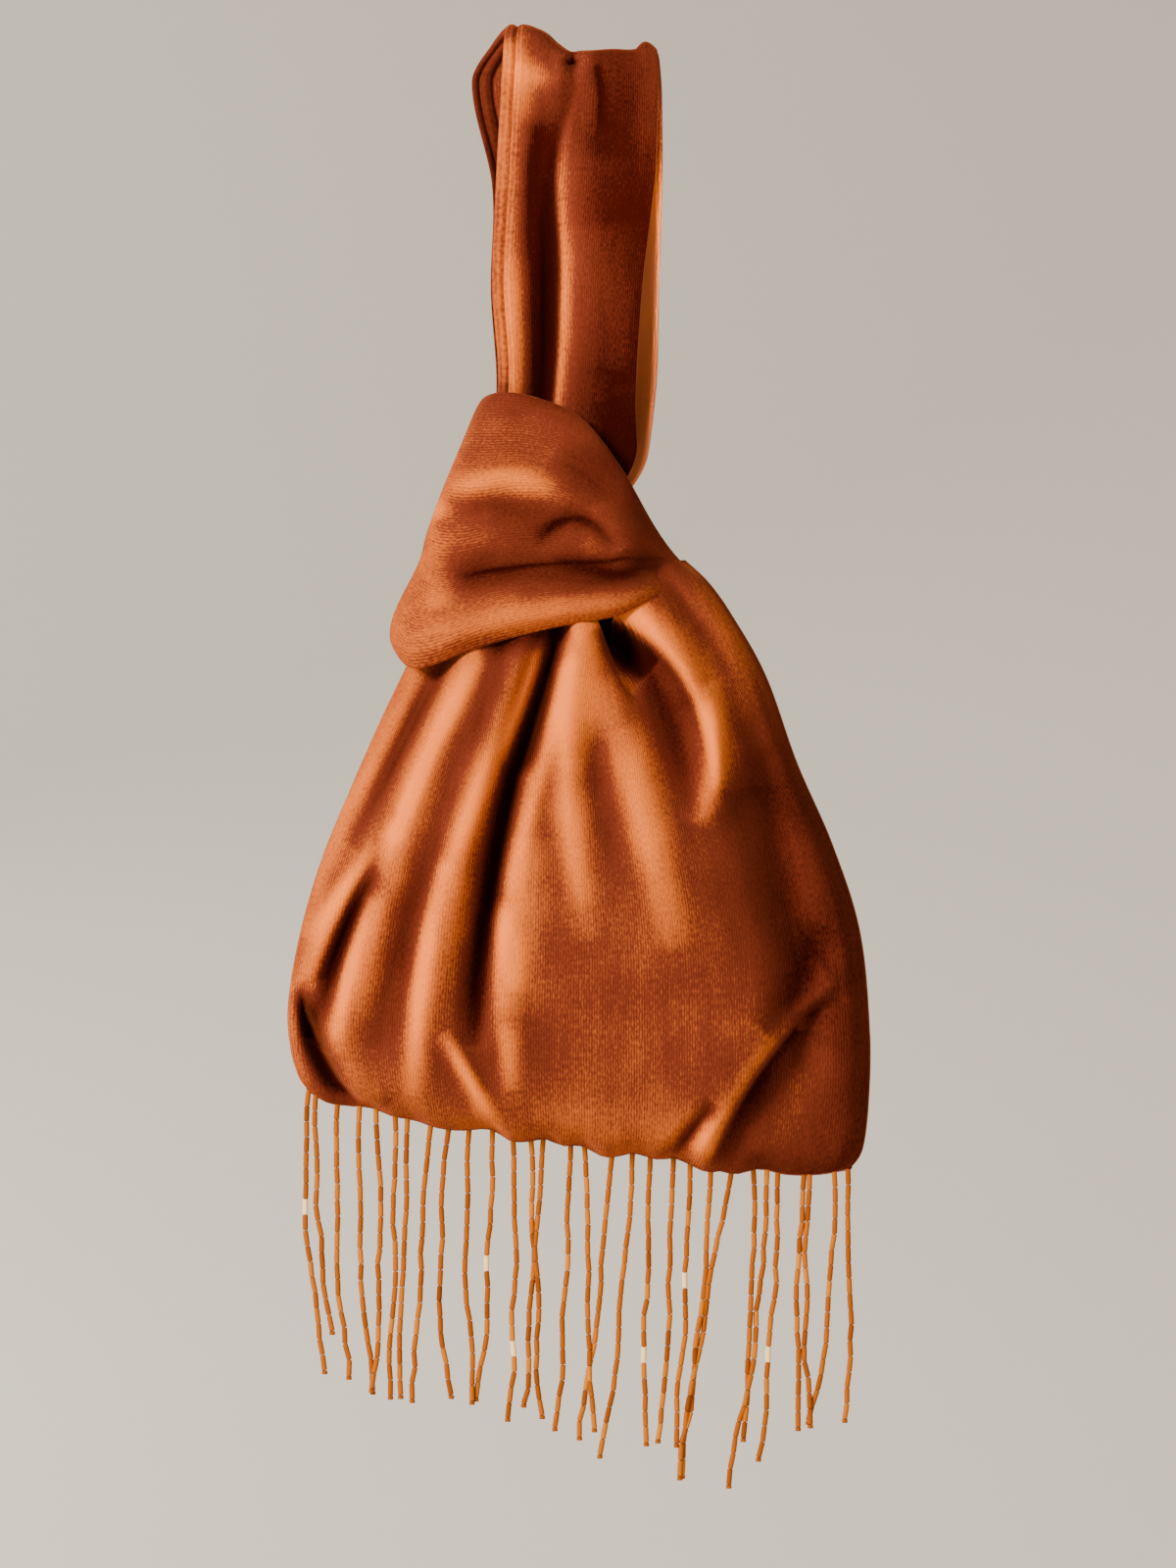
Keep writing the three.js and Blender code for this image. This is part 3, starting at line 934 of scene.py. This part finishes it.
@dataclass(frozen=True)
class Handle:
    """What both handles share: a strip of doubled cloth drawn to the mouth edge at its two ends."""

    name: str
    wall: float
    columns: int
    rows: int
    width: float
    length: float
    lap: float
    lift: float
    feather: float
    free_edge: float
    join_reach: float
    painted_highlight_range: tuple[float, float]
    painted_light_across: Table
    painted_light_tones: Folds
    front_foot: Foot
    back_foot: Foot
    cloth: Cloth
    # Painted light on the inner face, towards the back end
    painted_light_inside: Table = Table("at nap", ((0.0, 0.0), (1.0, 0.0)))
    painted_light_inside_onset: tuple[float, float] = (0.52, 0.2)
    painted_light_turn: float = 14.0
    painted_crest_columns: int = 8
    row_crowding: float = 0.6
    column_crowding: float = 0.85
    foot_step: float = 0.03
    free_onset: tuple[float, float] = (0.55, 0.35)

    def own(self, at: Array, share: Array) -> tuple[Array, Array]:
        """Give the handle's own points and the rise of its folds, before it is joined on."""
        raise NotImplementedError

    def slid(self, at: Array, share: Array) -> Array:
        """Give the shares at which the handle's painted light across is read."""
        return share

    def brushing(self, at: Array) -> Array:
        """Give how strongly the painted light across shows along the handle."""
        return np.ones_like(at)

    def foot(self, pouch: Pouch, front: bool, share: Array) -> tuple[Array, Array]:
        """Lay one end on the outside of the pouch.

        Args:
            pouch: what it is joined to.
            front: whether it is the front end.
            share: shares of the width.

        Returns:
            The points of the end, and the directions in which the handle leaves it.
        """
        span = self.front_foot if front else self.back_foot
        across = mix(span.start, span.stop, share)
        place, rise = pouch.outside(across if front else 2 - across, 1 - self.lap / pouch.height, self.lift)
        end, inward = (0.0, self.foot_step) if front else (1.0, 1.0 - self.foot_step)
        ends = self.own(np.full_like(share, end), share)[0]
        run = unit(self.own(np.full_like(share, inward), share)[0] - ends)
        return place, mix(rise, run, self.free_edge * share[:, None])

    def middle(self, pouch: Pouch, at: Array, share: Array) -> tuple[Array, Array]:
        """Give the middle of the strip, joined on at both ends.

        Args:
            pouch: what it is joined to.
            at: shares of the length, from the front end to the back one.
            share: shares of the width.

        Returns:
            The points, and the rise of the folds.
        """
        points, rise = self.own(at, share)
        for front, end in ((True, 0.0), (False, 1.0)):
            away = np.abs(at - end)
            place, leave = self.foot(pouch, front, share[0])
            target = place[None] + leave[None] * (away * self.length)[..., None]
            free = self.free_edge * onset(share, *self.free_onset)
            hold = (1 - smooth(away / self.join_reach)) * (1 - free)
            points = mix(points, target, hold[..., None])
        return points, rise

    def build(self, pouch: Pouch, material: bpy.types.Material) -> None:
        """Make the handle as a closed strip with rounded edges.

        Args:
            pouch: what it is joined to.
            material: its finish.
        """
        along = crowd(self.rows, self.row_crowding)
        across = crowd(self.columns, self.column_crowding)
        at, share = np.meshgrid(along, across, indexing="ij")
        points, rise = self.middle(pouch, at, share)
        from_side = np.minimum(share, 1 - share) * self.width / (self.wall / 2)
        from_end = np.minimum(at, 1 - at) * self.length / self.feather
        ring = wrap(points, rounded(self.wall / 2, np.minimum(from_side, from_end)))
        flat = np.stack([share * self.width, at * self.length], axis=-1) * MM
        uv = both_faces(flat, flat)
        # Painted light and shade: across the width, from the folds' shape, in strokes on the front, and
        # inside a painted lit strip where the back strand lies in shadow
        nap = NO_PAINTED_LIGHT + self.brushing(at) * self.painted_light_across.read("nap", self.slid(at, share))
        nap += painted_fold_light(rise, self.painted_crest_columns, *self.painted_highlight_range)
        on_front = onset(-points[..., 1], -self.painted_light_turn / 2, self.painted_light_turn)
        nap += self.painted_light_tones.rise(points[..., 0], points[..., 2]) * on_front
        outside = np.clip(nap, 0, FULL_PAINTED_HIGHLIGHT)
        behind = onset(at, *self.painted_light_inside_onset)
        inside = np.clip(outside + behind * self.painted_light_inside.read("nap", share), 0, PALEST_PAINTED_LIGHT)
        piece = grid_piece(self.name, ring, uv, both_faces(inside, outside))
        self.cloth.dress(piece, material)


@dataclass(frozen=True)
class LongHandle(Handle):
    """The loop that the bag hangs by, from its foot on the front, over the crest, to its foot on the back."""

    name: str = "velvet_long_handle"
    wall: float = 2.6
    columns: int = 110
    rows: int = 420
    width: float = 62.0
    length: float = 440.0
    lap: float = 6.0
    lift: float = -1.6
    feather: float = 3.0
    free_edge: float = 0.0
    join_reach: float = 0.14
    painted_highlight_range: tuple[float, float] = (14.0, 40.0)
    # Painted light across the strap: painted shade in the pleat's valley and on the right panel, a painted
    # highlight on the ridge between
    painted_light_across: Table = Table("at nap", (
        (0.0, -0.05), (0.06, -0.2), (0.11, -0.06), (0.16, -0.12), (0.21, -0.3), (0.27, -0.55),
        (0.4, -0.65), (0.45, -0.45), (0.485, 0.1), (0.53, -0.1), (0.75, -0.36), (1.0, -0.4),
    ))
    # On the back strand's inner face: painted shade towards its left edge, painted light towards its right
    # edge, which lies in the front strand's shadow
    painted_light_inside: Table = Table("at nap", (
        (0.0, -0.3), (0.5, -0.2), (0.66, 0.6), (0.8, 1.2), (1.0, 1.3),
    ))
    # Strokes of painted highlight and painted shade on the front of the strap
    painted_light_tones: Folds = Folds((
        (-27, 10, -21, -3, -8, -7, 5, 6, 0.3),
        (-24, 0, -20, -12, -18, -24, 5, 6, 0.28),
        (6, 8, 8, -14, 8, -36, 14, 14, -0.15),
        (8, -58, 10, -84, 9, -112, 13, 13, 0.25),
        (16, -120, 18, -138, 15, -160, 8, 3.5, -0.9),
        (10, 24, 12, -40, 10, -150, 17, 18, -0.2),
        (-17, -6, -16.5, -40, -15, -80, 5, 5, -0.2),
        (-17, -30, -16, -52, -15, -78, 5, 5, -0.18),
        (-5.5, 2, -4.3, 0.5, -3, 2, 2, 2, -0.5),
        (4, -1, 5.8, -10, 6.3, -23, 1.4, 1.8, -0.25),
        (-27, 8, -29, -56, -28, -122, 3.5, 4, 0.25),
        (-24, -70, -24.5, -100, -23, -130, 4, 4, 0.2),
    ))
    least_painted_light: float = 0.25
    crest_turn: tuple[float, float] = (0.44, 0.56)
    crest_at: float = 0.5
    crest_reach: float = 0.13
    crest: Table = Table("at sag", (
        (0.0, 0), (0.1, -0.5), (0.18, -0.9), (0.26, 0.2), (0.33, 3), (0.43, 6), (0.53, 6), (0.7, 4.5),
        (0.87, 3.5), (0.93, 0.5), (1.0, 3),
    ))
    front_foot: Foot = Foot(0.05, 0.6)
    back_foot: Foot = Foot(0.05, 0.66)
    cloth: Cloth = Cloth("long_handle", (0.08, 0.42), Held.HUNG)
    sections: Table = Table("at leftX leftZ rightX rightZ y pleat slide", (
        (0.0, -51, -198, 6, -186, -15, 0.1, 0.08),
        (0.09, -39, -160, 19, -159, -12, 0.3, 0.08),
        (0.18, -30.5, -120, 19, -120, -11.5, 0.75, 0.04),
        (0.27, -32.5, -80, 21.5, -80, -13, 0.95, 0.0),
        (0.36, -31, -42, 26, -42, -13, 0.5, 0.08),
        (0.4, -30, -23, 26.8, -24, -12.5, 0.15, 0.05),
        (0.44, -29, -5, 27, -7, -11.5, 0.0, 0.0),
        (0.47, -28.3, 9, 27, 5, -7, 0.05, 0.0),
        (0.5, -28, 13, 26.5, 8, 0, 0.1, 0.0),
        (0.53, -33, 9, 28, 5, 7, 0.1, 0.0),
        (0.56, -40.5, -4, 29, -7, 11.5, 0.2, 0.0),
        (0.64, -33, -42, 28.7, -42, 13, 0.4, 0.0),
        (0.73, -33.5, -80, 27.6, -80, 13, 0.5, 0.0),
        (0.82, -31.5, -120, 26.2, -120, 12, 0.5, 0.0),
        (0.91, -38, -160, 19.5, -163, 12, 0.3, 0.0),
        (1.0, -51, -198, 8, -186, 14.5, 0.1, 0.0),
    ))
    hem: Table = Table("at rise", (
        (0.0, -1.6), (0.025, 0.9), (0.045, 0.9), (0.07, -0.8), (0.1, 0.9), (0.13, 0.8), (0.2, 0.0),
        (1.0, 0.0),
    ))
    pleats: Table = Table("at rise", (
        (0.0, -0.5), (0.12, 0.8), (0.2, -1.0), (0.27, -5.5), (0.33, -8.5), (0.4, -9.0), (0.43, -7.5),
        (0.465, -2.0), (0.495, 2.0), (0.55, 2.6), (0.64, 1.8), (0.76, 0.8), (0.9, -0.6), (1.0, -2.5),
    ))
    curl_onset: float = 0.06
    curl_end: tuple[float, float] = (0.82, 0.1)
    back_curl: Table = Table("at rise", (
        (0.0, 0.0), (0.7, 0.0), (0.85, -3.0), (1.0, -9.0),
    ))
    front_folds: Folds = Folds((
        (-6.5, 2.5, -4.3, 0, -2, 2.5, 2.4, 2.4, -8),
        (-12, 9, -8.5, 1, -7, -7, 3, 3, 2),
        (-1, 5, 1.5, -1, -4, -6, 2, 2.4, 1.6),
        (3, 1, 6.2, -10, 6.2, -26, 1.8, 2.2, -1.2),
        (0, 0, 2.5, -12, 2, -28, 3, 3, 1.2),
        (-22, 8, -19, -4, -15, -22, 4, 4, -1.5),
    ))

    def slid(self, at: Array, share: Array) -> Array:
        """Give the shares at which the pleats are read, which slide sideways towards the feet."""
        return share + self.sections.read("slide", at) * bow(share)

    def brushing(self, at: Array) -> Array:
        """Give how strongly the painted light across shows, which is strongest where the pleats are deep."""
        return mix(self.least_painted_light, 1.0, np.clip(self.sections.read("pleat", at), 0, 1))

    def own(self, at: Array, share: Array) -> tuple[Array, Array]:
        """Give the handle's own shape.

        Args:
            at: shares of the length, from the front end to the back one.
            share: shares of the width.

        Returns:
            The points, and the rise of the folds.
        """
        def row(name: str) -> Array:
            """Read a column of the sections at these places."""
            return self.sections.read(name, at)

        start, stop = self.crest_turn
        turn = np.cos(np.pi * np.clip((at - start) / (stop - start), 0, 1))
        pleat = row("pleat") * self.pleats.read("rise", self.slid(at, share)) + self.hem.read("rise", share)
        sag = self.crest.read("sag", share) * smooth(1 - np.abs(at - self.crest_at) / self.crest_reach)
        x = mix(row("leftX"), row("rightX"), share)
        z = mix(row("leftZ"), row("rightZ"), share) - sag
        behind = onset(at, stop, self.curl_onset) * (1 - onset(at, *self.curl_end))
        pleat = pleat + behind * self.back_curl.read("rise", share)
        rise = pleat + (at < self.crest_at) * self.front_folds.rise(x, z) * np.maximum(turn, 0)
        over = np.sqrt(np.maximum(0, 1 - turn**2))
        return np.stack([x, row("y") - turn * rise, z + over * pleat], axis=-1), rise


@dataclass(frozen=True)
class ShortHandle(Handle):
    """The wide loop across the neck, from the right shoulder in front, round its fold, to the one behind."""

    name: str = "velvet_short_handle"
    wall: float = 2.6
    columns: int = 84
    rows: int = 260
    width: float = 90.0
    length: float = 250.0
    lap: float = 5.0
    lift: float = 0.9
    feather: float = 6.0
    free_edge: float = 1.0
    join_reach: float = 0.14
    painted_highlight_range: tuple[float, float] = (18.0, 60.0)
    # Painted light across the band's width
    painted_light_across: Table = Table("at nap", (
        (0.0, -0.1), (0.3, 0.0), (0.7, -0.05), (1.0, 0.1),
    ))
    # Strokes of painted highlight and painted shade on the band's front, such as a painted highlight on its
    # hump and painted shade along its crease
    painted_light_tones: Folds = Folds((
        (-41, -124, -55, -165, -69, -206, 4, 5, 0.18),
        (-46, -157, -28, -151.5, -10, -156, 2.5, 3, 0.2),
        (-42, -162, -24, -161, -5, -160, 3, 2.5, -0.1),
        (-34, -168, -16, -170, 2, -172, 7, 7, -0.25),
        (-10, -142, -2, -150, 4, -162, 8, 8, -0.18),
        (-56, -176, -53, -187, -52, -200, 6, 6, 0.3),
        (-24, -195, 0, -191.5, 22, -188, 4, 4, -0.18),
        (-54, -160, -52, -163, -50, -167, 5, 5, 0.25),
        (-46, -186, -38, -180, -22, -181, 5, 5, -0.06),
        (-17, -174, -3, -166.5, 11, -177, 2.5, 2, -0.28),
        (-46, -190, -10, -186.5, 33, -184, 5, 3.5, -0.26),
        (-46, -187, -10, -182.3, 33, -180, 1.2, 1.2, -0.3),
        (-65, -208, -20, -200.5, 28, -192, 4, 5, 0.1),
        (2, -138, 14, -158, 32, -178, 14, 14, -0.2),
    ))
    front_foot: Foot = Foot(0.965, 0.86)
    back_foot: Foot = Foot(0.965, 0.86)
    cloth: Cloth = Cloth("short_handle", (0.09, 0.25), Held.FOLDED)
    sections: Table = Table("at topX topY topZ lowX lowY lowZ roll", (
        (0.0, 33.5, -5, -177, 29.5, -14, -193, 0.1),
        (0.05, 28, -11.5, -167, 19.5, -26.5, -197, 0.5),
        (0.1, 21, -17, -158, 11, -29, -200.5, 0.8),
        (0.21, 1, -20, -131, -12, -29, -205, 1.0),
        (0.32, -17, -19.5, -122, -37, -28, -211.5, 1.0),
        (0.42, -31, -18.5, -120, -62, -22, -219.5, 0.7),
        (0.49, -36, 0, -121, -70, -3, -209, 0.3),
        (0.56, -31, 18.5, -121, -61, 19, -213, 0.5),
        (0.67, -13, 20.5, -126, -35, 26.5, -208, 0.7),
        (0.79, 4, 20, -136, -8, 28.5, -204, 0.7),
        (0.9, 20, 17, -157, 9, 30, -190, 0.6),
        (1.0, 33.5, 4, -177, 25, 11, -181, 0.3),
    ))
    rolls: Table = Table("at rise", (
        (0.0, -2.5), (0.05, 0.4), (0.2, 1.8), (0.4, 3.2), (0.56, 2), (0.66, -1.8), (0.72, -1.2),
        (0.84, 2.8), (0.93, 3.2), (1.0, -3.0),
    ))
    front_end: tuple[float, float] = (0.42, 0.07)
    front_folds: Folds = Folds((
        (-50, -159, -30, -154, -4, -160, 3.5, 5, 2.2),
        (-46, -165, -28, -162, -4, -168, 7, 3.5, -2.4),
        (-16, -176, -2, -165, 12, -178, 4, 2.5, -2.2),
        (-14, -181, -4, -176, 4, -180, 5, 5, 0.8),
        (-58, -166, -53, -172, -46, -178, 5, 5, 2),
        (-48, -187, -12, -182.3, 36, -180, 2.2, 2.2, -2),
    ))

    def base(self, at: Array, share: Array) -> Array:
        """Give the plain strip between its top and lower edges.

        Args:
            at: shares of the length, from the front end to the back one.
            share: shares of the width, from the top edge down.

        Returns:
            The points.
        """
        top = np.stack([self.sections.read(name, at) for name in ("topX", "topY", "topZ")], axis=-1)
        low = np.stack([self.sections.read(name, at) for name in ("lowX", "lowY", "lowZ")], axis=-1)
        return mix(top, low, share[..., None])

    def outward(self, at: Array, share: Array) -> Array:
        """Give the directions in which the strip's folds rise.

        Args:
            at: shares of the length.
            share: shares of the width.

        Returns:
            The unit directions.
        """
        at = np.clip(at, SLOPE_STEP, 1 - SLOPE_STEP)
        along = self.base(at + SLOPE_STEP, share) - self.base(at - SLOPE_STEP, share)
        across = self.base(at, share + SLOPE_STEP) - self.base(at, share - SLOPE_STEP)
        return unit(np.cross(along, across))

    def own(self, at: Array, share: Array) -> tuple[Array, Array]:
        """Give the handle's own shape.

        Args:
            at: shares of the length, from the front end to the back one.
            share: shares of the width, from the top edge down.

        Returns:
            The points, and the rise of the folds.
        """
        base = self.base(at, share)
        rise = self.sections.read("roll", at) * self.rolls.read("rise", share)
        on_front = 1 - onset(at, *self.front_end)
        rise = rise + on_front * self.front_folds.rise(base[..., 0], base[..., 2])
        return base + rise[..., None] * self.outward(at, share), rise


# Fringe


@dataclass(frozen=True)
class Bead:
    """The shape of one bugle bead: rings from one mouth of its hole round the outside to the other."""

    radius: float = 1.0
    hole: float = 0.4
    length: float = 5.61
    gap: float = 0.14
    bevel: float = 0.22
    sides: int = 10

    def rings(self) -> Array:
        """Give each ring's radius and place along the bead, as a closed round."""
        r, b, end = self.radius, self.bevel, self.length
        return np.array([(self.hole, 0), (r - b, 0), (r, b), (r, end - b), (r - b, end), (self.hole, end)])

    def body(self) -> tuple[Array, Faces]:
        """Shape the bead about the z axis.

        Returns:
            Its points and faces.
        """
        angles = 2 * np.pi * np.arange(self.sides) / self.sides
        rings = self.rings()
        points = [(r * np.cos(a), r * np.sin(a), z) for r, z in rings for a in angles]
        return np.array(points), quads(len(rings), self.sides, True)


@dataclass(frozen=True)
class BeadFringe:
    """Strands of bugle beads on thread, sewn along the bottom seam under a thin heading thread."""

    bead: Bead = Bead()
    shade: tuple[float, float] = (0.48, 0.15)
    seed_length: float = 1.5
    seed_swell: float = 1.05
    seed_shade: float = 0.35
    thread_radius: float = 0.2
    thread_sides: int = 5
    heading_radius: float = 0.5
    heading_drop: float = 0.4
    heading_sides: int = 8
    heading_bends: int = 60
    waves: tuple[float, float] = (1.0, 2.6)
    sway: float = 0.8
    kink: float = 0.3
    # Share of beads painted pale as a glint
    painted_glints: float = 0.008
    random_seed: int = 7
    strands: Table = Table("x middle tip drop", (
        (-100, -0.5, 7, 102), (-97.5, 1, 5.5, 86), (-89.5, 0, 4, 99), (-81.5, 0.5, 4.5, 104),
        (-75.5, 1.5, -1, 102), (-68.5, -0.5, -2, 102), (-64, -1.5, -2.5, 101), (-55.5, -4, -6.5, 100),
        (-49, -3, 0, 97), (-41.5, -1, 2, 99), (-33, -1.5, -5, 98), (-25.5, 0.5, -1.5, 101),
        (-19, 0.5, -2.5, 96), (-14.5, -2.5, -1, 101), (-4.5, -2, -5, 103), (0.5, 1.5, 3, 103),
        (10.5, -5, -11.5, 102), (18, -4, -11.5, 110), (24.5, -1.5, -2.5, 104), (33, -2, -5, 103),
        (39, -2, -5, 102), (46.5, -4, -11.5, 111), (54, -10.5, -19, 110), (62, -0.5, -4, 98),
        (67, -4, -14, 115), (71, -2, -7, 104), (80.5, -2.5, -1.5, 92), (82.5, -1.5, 0, 91),
        (91.5, -1.5, -9, 91), (96.5, 0.5, 0, 91),
    ))

    def seam(self, pouch: Pouch, x: Array) -> Array:
        """Give points on the pouch's bottom seam by their x."""
        left, right = (pouch.sections.column(name)[0] for name in ("leftX", "rightX"))
        return pouch.point((x - left) / (right - left), 0.0)

    def path(self, top: Array, row: tuple[float, ...], rng: np.random.Generator) -> Array:
        """Give the bends of one strand, a bead's length apart.

        Args:
            top: where it leaves the seam.
            row: its place, the sideways shifts of its middle and tip, and its length.
            rng: where its small sways come from.

        Returns:
            The points from the seam to the tip.
        """
        _, middle, tip, drop = row
        count = max(2, round(drop / (self.bead.length + self.bead.gap)))
        t = np.linspace(0, 1, count + 1)
        side = middle * bow(t) + tip * t * (2 * t - 1)
        waves = rng.uniform(*self.waves, 2)
        phase = rng.uniform(0, 2 * np.pi, 2)
        loose = self.sway * np.sqrt(t) * np.sin(2 * np.pi * waves[0] * t + phase[0])
        loose += self.kink * np.sqrt(t) * rng.normal(0, 1, count + 1)
        depth = self.sway * np.sqrt(t) * np.sin(2 * np.pi * waves[1] * t + phase[1])
        return np.stack([top[0] + side + loose, top[1] + depth, top[2] - drop * t], axis=-1)

    def place(self, body: Array, start: Array, end: Array, length: float) -> Array:
        """Lay a body made along the z axis on a stretch of thread.

        Args:
            body: its points.
            start: the upper end of the stretch.
            end: its lower end.
            length: the body's own length.

        Returns:
            The points in place.
        """
        run = end - start
        span = np.linalg.norm(run)
        down = run / span
        side = unit(np.cross(down, BACKWARDS))
        front = np.cross(down, side)
        stretch = (span - self.bead.gap) / length
        turned = body[:, :1] * side + body[:, 1:2] * front + body[:, 2:] * stretch * down
        return start + turned + down * self.bead.gap / 2

    def tube(self, points: Array, radius: float, sides: int) -> tuple[Array, Faces]:
        """Give a closed tube along points.

        Args:
            points: the bends of its middle.
            radius: how thick it is.
            sides: how many sides it has.

        Returns:
            Its points and faces.
        """
        run = unit(np.gradient(points, axis=0))
        side = unit(np.cross(run, BACKWARDS))
        front = np.cross(run, side)
        angles = 2 * np.pi * np.arange(sides) / sides
        ring = np.cos(angles)[None, :, None] * side[:, None] + np.sin(angles)[None, :, None] * front[:, None]
        body = (points[:, None] + radius * ring).reshape(-1, 3)
        faces = quads(len(points), sides, False)
        last = (len(points) - 1) * sides
        faces.append(tuple(range(sides))[::-1])
        faces.append(tuple(range(last, last + sides)))
        return body, faces

    def build(self, pouch: Pouch, beads: bpy.types.Material, thread: bpy.types.Material) -> None:
        """String all strands and sew them on.

        Args:
            pouch: whose bottom seam carries them.
            beads: the beads' finish.
            thread: the thread's finish.
        """
        rng = np.random.default_rng(self.random_seed)
        body, faces = self.bead.body()
        seed = body * (self.seed_swell, self.seed_swell, self.seed_length / self.bead.length)
        bodies, shades, threads = [], [], []
        for row in self.strands.rows:
            top = self.seam(pouch, np.array([row[0]]))[0]
            top[2] -= self.heading_drop
            path = self.path(top, row, rng)
            for start, end in zip(path[:-1], path[1:]):
                bodies.append((self.place(body, start, end, self.bead.length), faces))
                # A few beads get a painted glint; the others differ at random in tone
                painted_glint_here = rng.random() < self.painted_glints
                shades.append(PAINTED_GLINT_SHADE if painted_glint_here else np.clip(rng.normal(*self.shade), 0, BRIGHT_BEAD))
            knot = path[-1] + np.array([0, 0, -self.seed_length])
            bodies.append((self.place(seed, path[-1], knot, self.seed_length), faces))
            shades.append(self.seed_shade)
            bends = np.concatenate([path, knot[None]])
            threads.append(self.tube(bends, self.thread_radius, self.thread_sides))
        strung = joined_piece("bugle_beads", bodies, shades)
        places = self.strands.column("x")
        bends = np.linspace(places[0], places[-1], self.heading_bends)
        heading = self.seam(pouch, bends) - np.array([0, 0, self.heading_drop])
        threads.append(self.tube(heading, self.heading_radius, self.heading_sides))
        sewn = joined_piece("fringe_thread", threads, [NO_PAINTED_LIGHT] * len(threads))
        for piece, material, slot in ((strung, beads, "beads"), (sewn, thread, "velvet")):
            piece.data.materials.append(material)
            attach(piece, BODY)
            LOG.info("%s: %d faces", piece.name, len(piece.data.polygons))
        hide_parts("bead_fringe")


# Studio


@dataclass(frozen=True)
class Lamp:
    """One soft lamp: where it stands, what it looks at, its size, strength, colour and angle of spread."""

    name: str
    place_m: tuple[float, float, float]
    aim_m: tuple[float, float, float]
    size_m: float
    watts: float
    colour: Colour = (1.0, 1.0, 1.0)
    spread: float = np.pi

    def build(self) -> None:
        """Put up the lamp."""
        light = bpy.data.lights.new(self.name, "AREA")
        light.shape = "DISK"
        light.size = self.size_m
        light.energy = self.watts
        light.color = self.colour
        light.spread = self.spread
        lamp = bpy.data.objects.new(self.name, light)
        lamp.location = self.place_m
        aim = Vector(self.aim_m) - Vector(self.place_m)
        lamp.rotation_euler = aim.to_track_quat("-Z", "Y").to_euler()
        bpy.context.scene.collection.objects.link(lamp)


@dataclass(frozen=True)
class Studio:
    """A round pale cove with soft lamps, and the camera at the photograph's angle."""

    photo_px: tuple[float, float] = (1200.0, 1600.0)
    origin_px: tuple[float, float] = (595.0, 68.0)
    px_per_mm: float = 2.8
    distance_m: float = 1.7
    sensor_mm: float = 36.0
    floor_m: float = -1.1
    cove_radius_m: float = 4.0
    cove_height_m: float = 4.2
    cove_bend_m: float = 3.4
    cove_bends: int = 10
    cove_sides: int = 64
    cove_roughness: float = 0.9
    clip_m: float = 50.0
    pale: Colour = (0.62, 0.57, 0.5)
    world: Colour = (0.95, 0.97, 1.0)
    world_strength: float = 0.1
    lamps: tuple[Lamp, ...] = (
        Lamp("key", (-1.5, -1.7, 0.6), (0.0, 0.0, -0.25), 0.8, 150.0, (1.0, 0.95, 0.86)),
        Lamp("fill", (1.8, -1.6, 0.2), (0.0, 0.0, -0.25), 1.2, 18.0, (1.0, 0.95, 0.88)),
        Lamp("edge", (0.8, -0.75, 0.0), (0.03, 0.0, -0.055), 0.1, 0.08, (1.0, 0.93, 0.82), 0.13),
        Lamp("back", (-1.2, 1.9, 0.7), (0.0, 0.0, -0.25), 1.0, 40.0, (1.0, 0.96, 0.9)),
        Lamp("backdrop", (-2.0, 1.2, 2.2), (-1.7, 3.4, 0.0), 1.2, 75.0),
    )

    def cove(self) -> None:
        """Make the floor and its rounded wall in one sheet."""
        bend = self.cove_bend_m
        angles = np.linspace(0, np.pi / 2, self.cove_bends)
        corner = [(self.cove_radius_m - bend + bend * np.sin(a), bend - bend * np.cos(a)) for a in angles]
        profile = np.array([(0.0, 0.0), *corner, (self.cove_radius_m, self.cove_height_m)])
        turn = np.linspace(0, 2 * np.pi, self.cove_sides + 1)
        radius, height = profile[:, :1], profile[:, 1:]
        level = height * np.ones_like(turn)[None] + self.floor_m
        points = np.stack([radius * np.cos(turn), radius * np.sin(turn), level], axis=-1)
        piece = grid_piece("pale_cove", points / MM, np.zeros_like(points[..., :2]), np.zeros_like(level))
        shader = Shader("pale_cove")
        shader.set(Base_Color=(*self.pale, 1), Roughness=self.cove_roughness)
        piece.data.materials.append(shader.material)

    def camera(self) -> None:
        """Stand the camera where the photograph was taken from."""
        frame_m = self.photo_px[1] / self.px_per_mm * MM
        lens = bpy.data.cameras.new("photo_camera")
        lens.sensor_width = self.sensor_mm
        lens.lens = self.sensor_mm * self.distance_m / frame_m
        lens.clip_end = self.clip_m
        camera = bpy.data.objects.new("photo_camera", lens)
        x = (self.photo_px[0] / 2 - self.origin_px[0]) / self.px_per_mm * MM
        z = (self.origin_px[1] - self.photo_px[1] / 2) / self.px_per_mm * MM
        camera.location = (x, -self.distance_m, z)
        camera.rotation_euler = (np.pi / 2, 0, 0)
        bpy.context.scene.collection.objects.link(camera)
        bpy.context.scene.camera = camera

    def build(self) -> None:
        """Set up the cove, the lamps, the daylight and the camera."""
        self.cove()
        for lamp in self.lamps:
            lamp.build()
        world = bpy.data.worlds.new("daylight")
        world.use_nodes = True
        background = world.node_tree.nodes["Background"]
        background.inputs["Color"].default_value = (*self.world, 1)
        background.inputs["Strength"].default_value = self.world_strength
        bpy.context.scene.world = world
        self.camera()


def main() -> None:
    """Build the bag and its studio."""
    logging.basicConfig(level=logging.INFO, format="%(message)s")
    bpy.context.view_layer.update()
    velvet = VelvetFinish().build()
    pouch = Pouch()
    pouch.build(velvet)
    LongHandle().build(pouch, velvet)
    ShortHandle().build(pouch, velvet)
    BeadFringe().build(pouch, BeadFinish().build(), ThreadFinish().build())
    Studio().build()


if __name__ == "__main__":
    main()
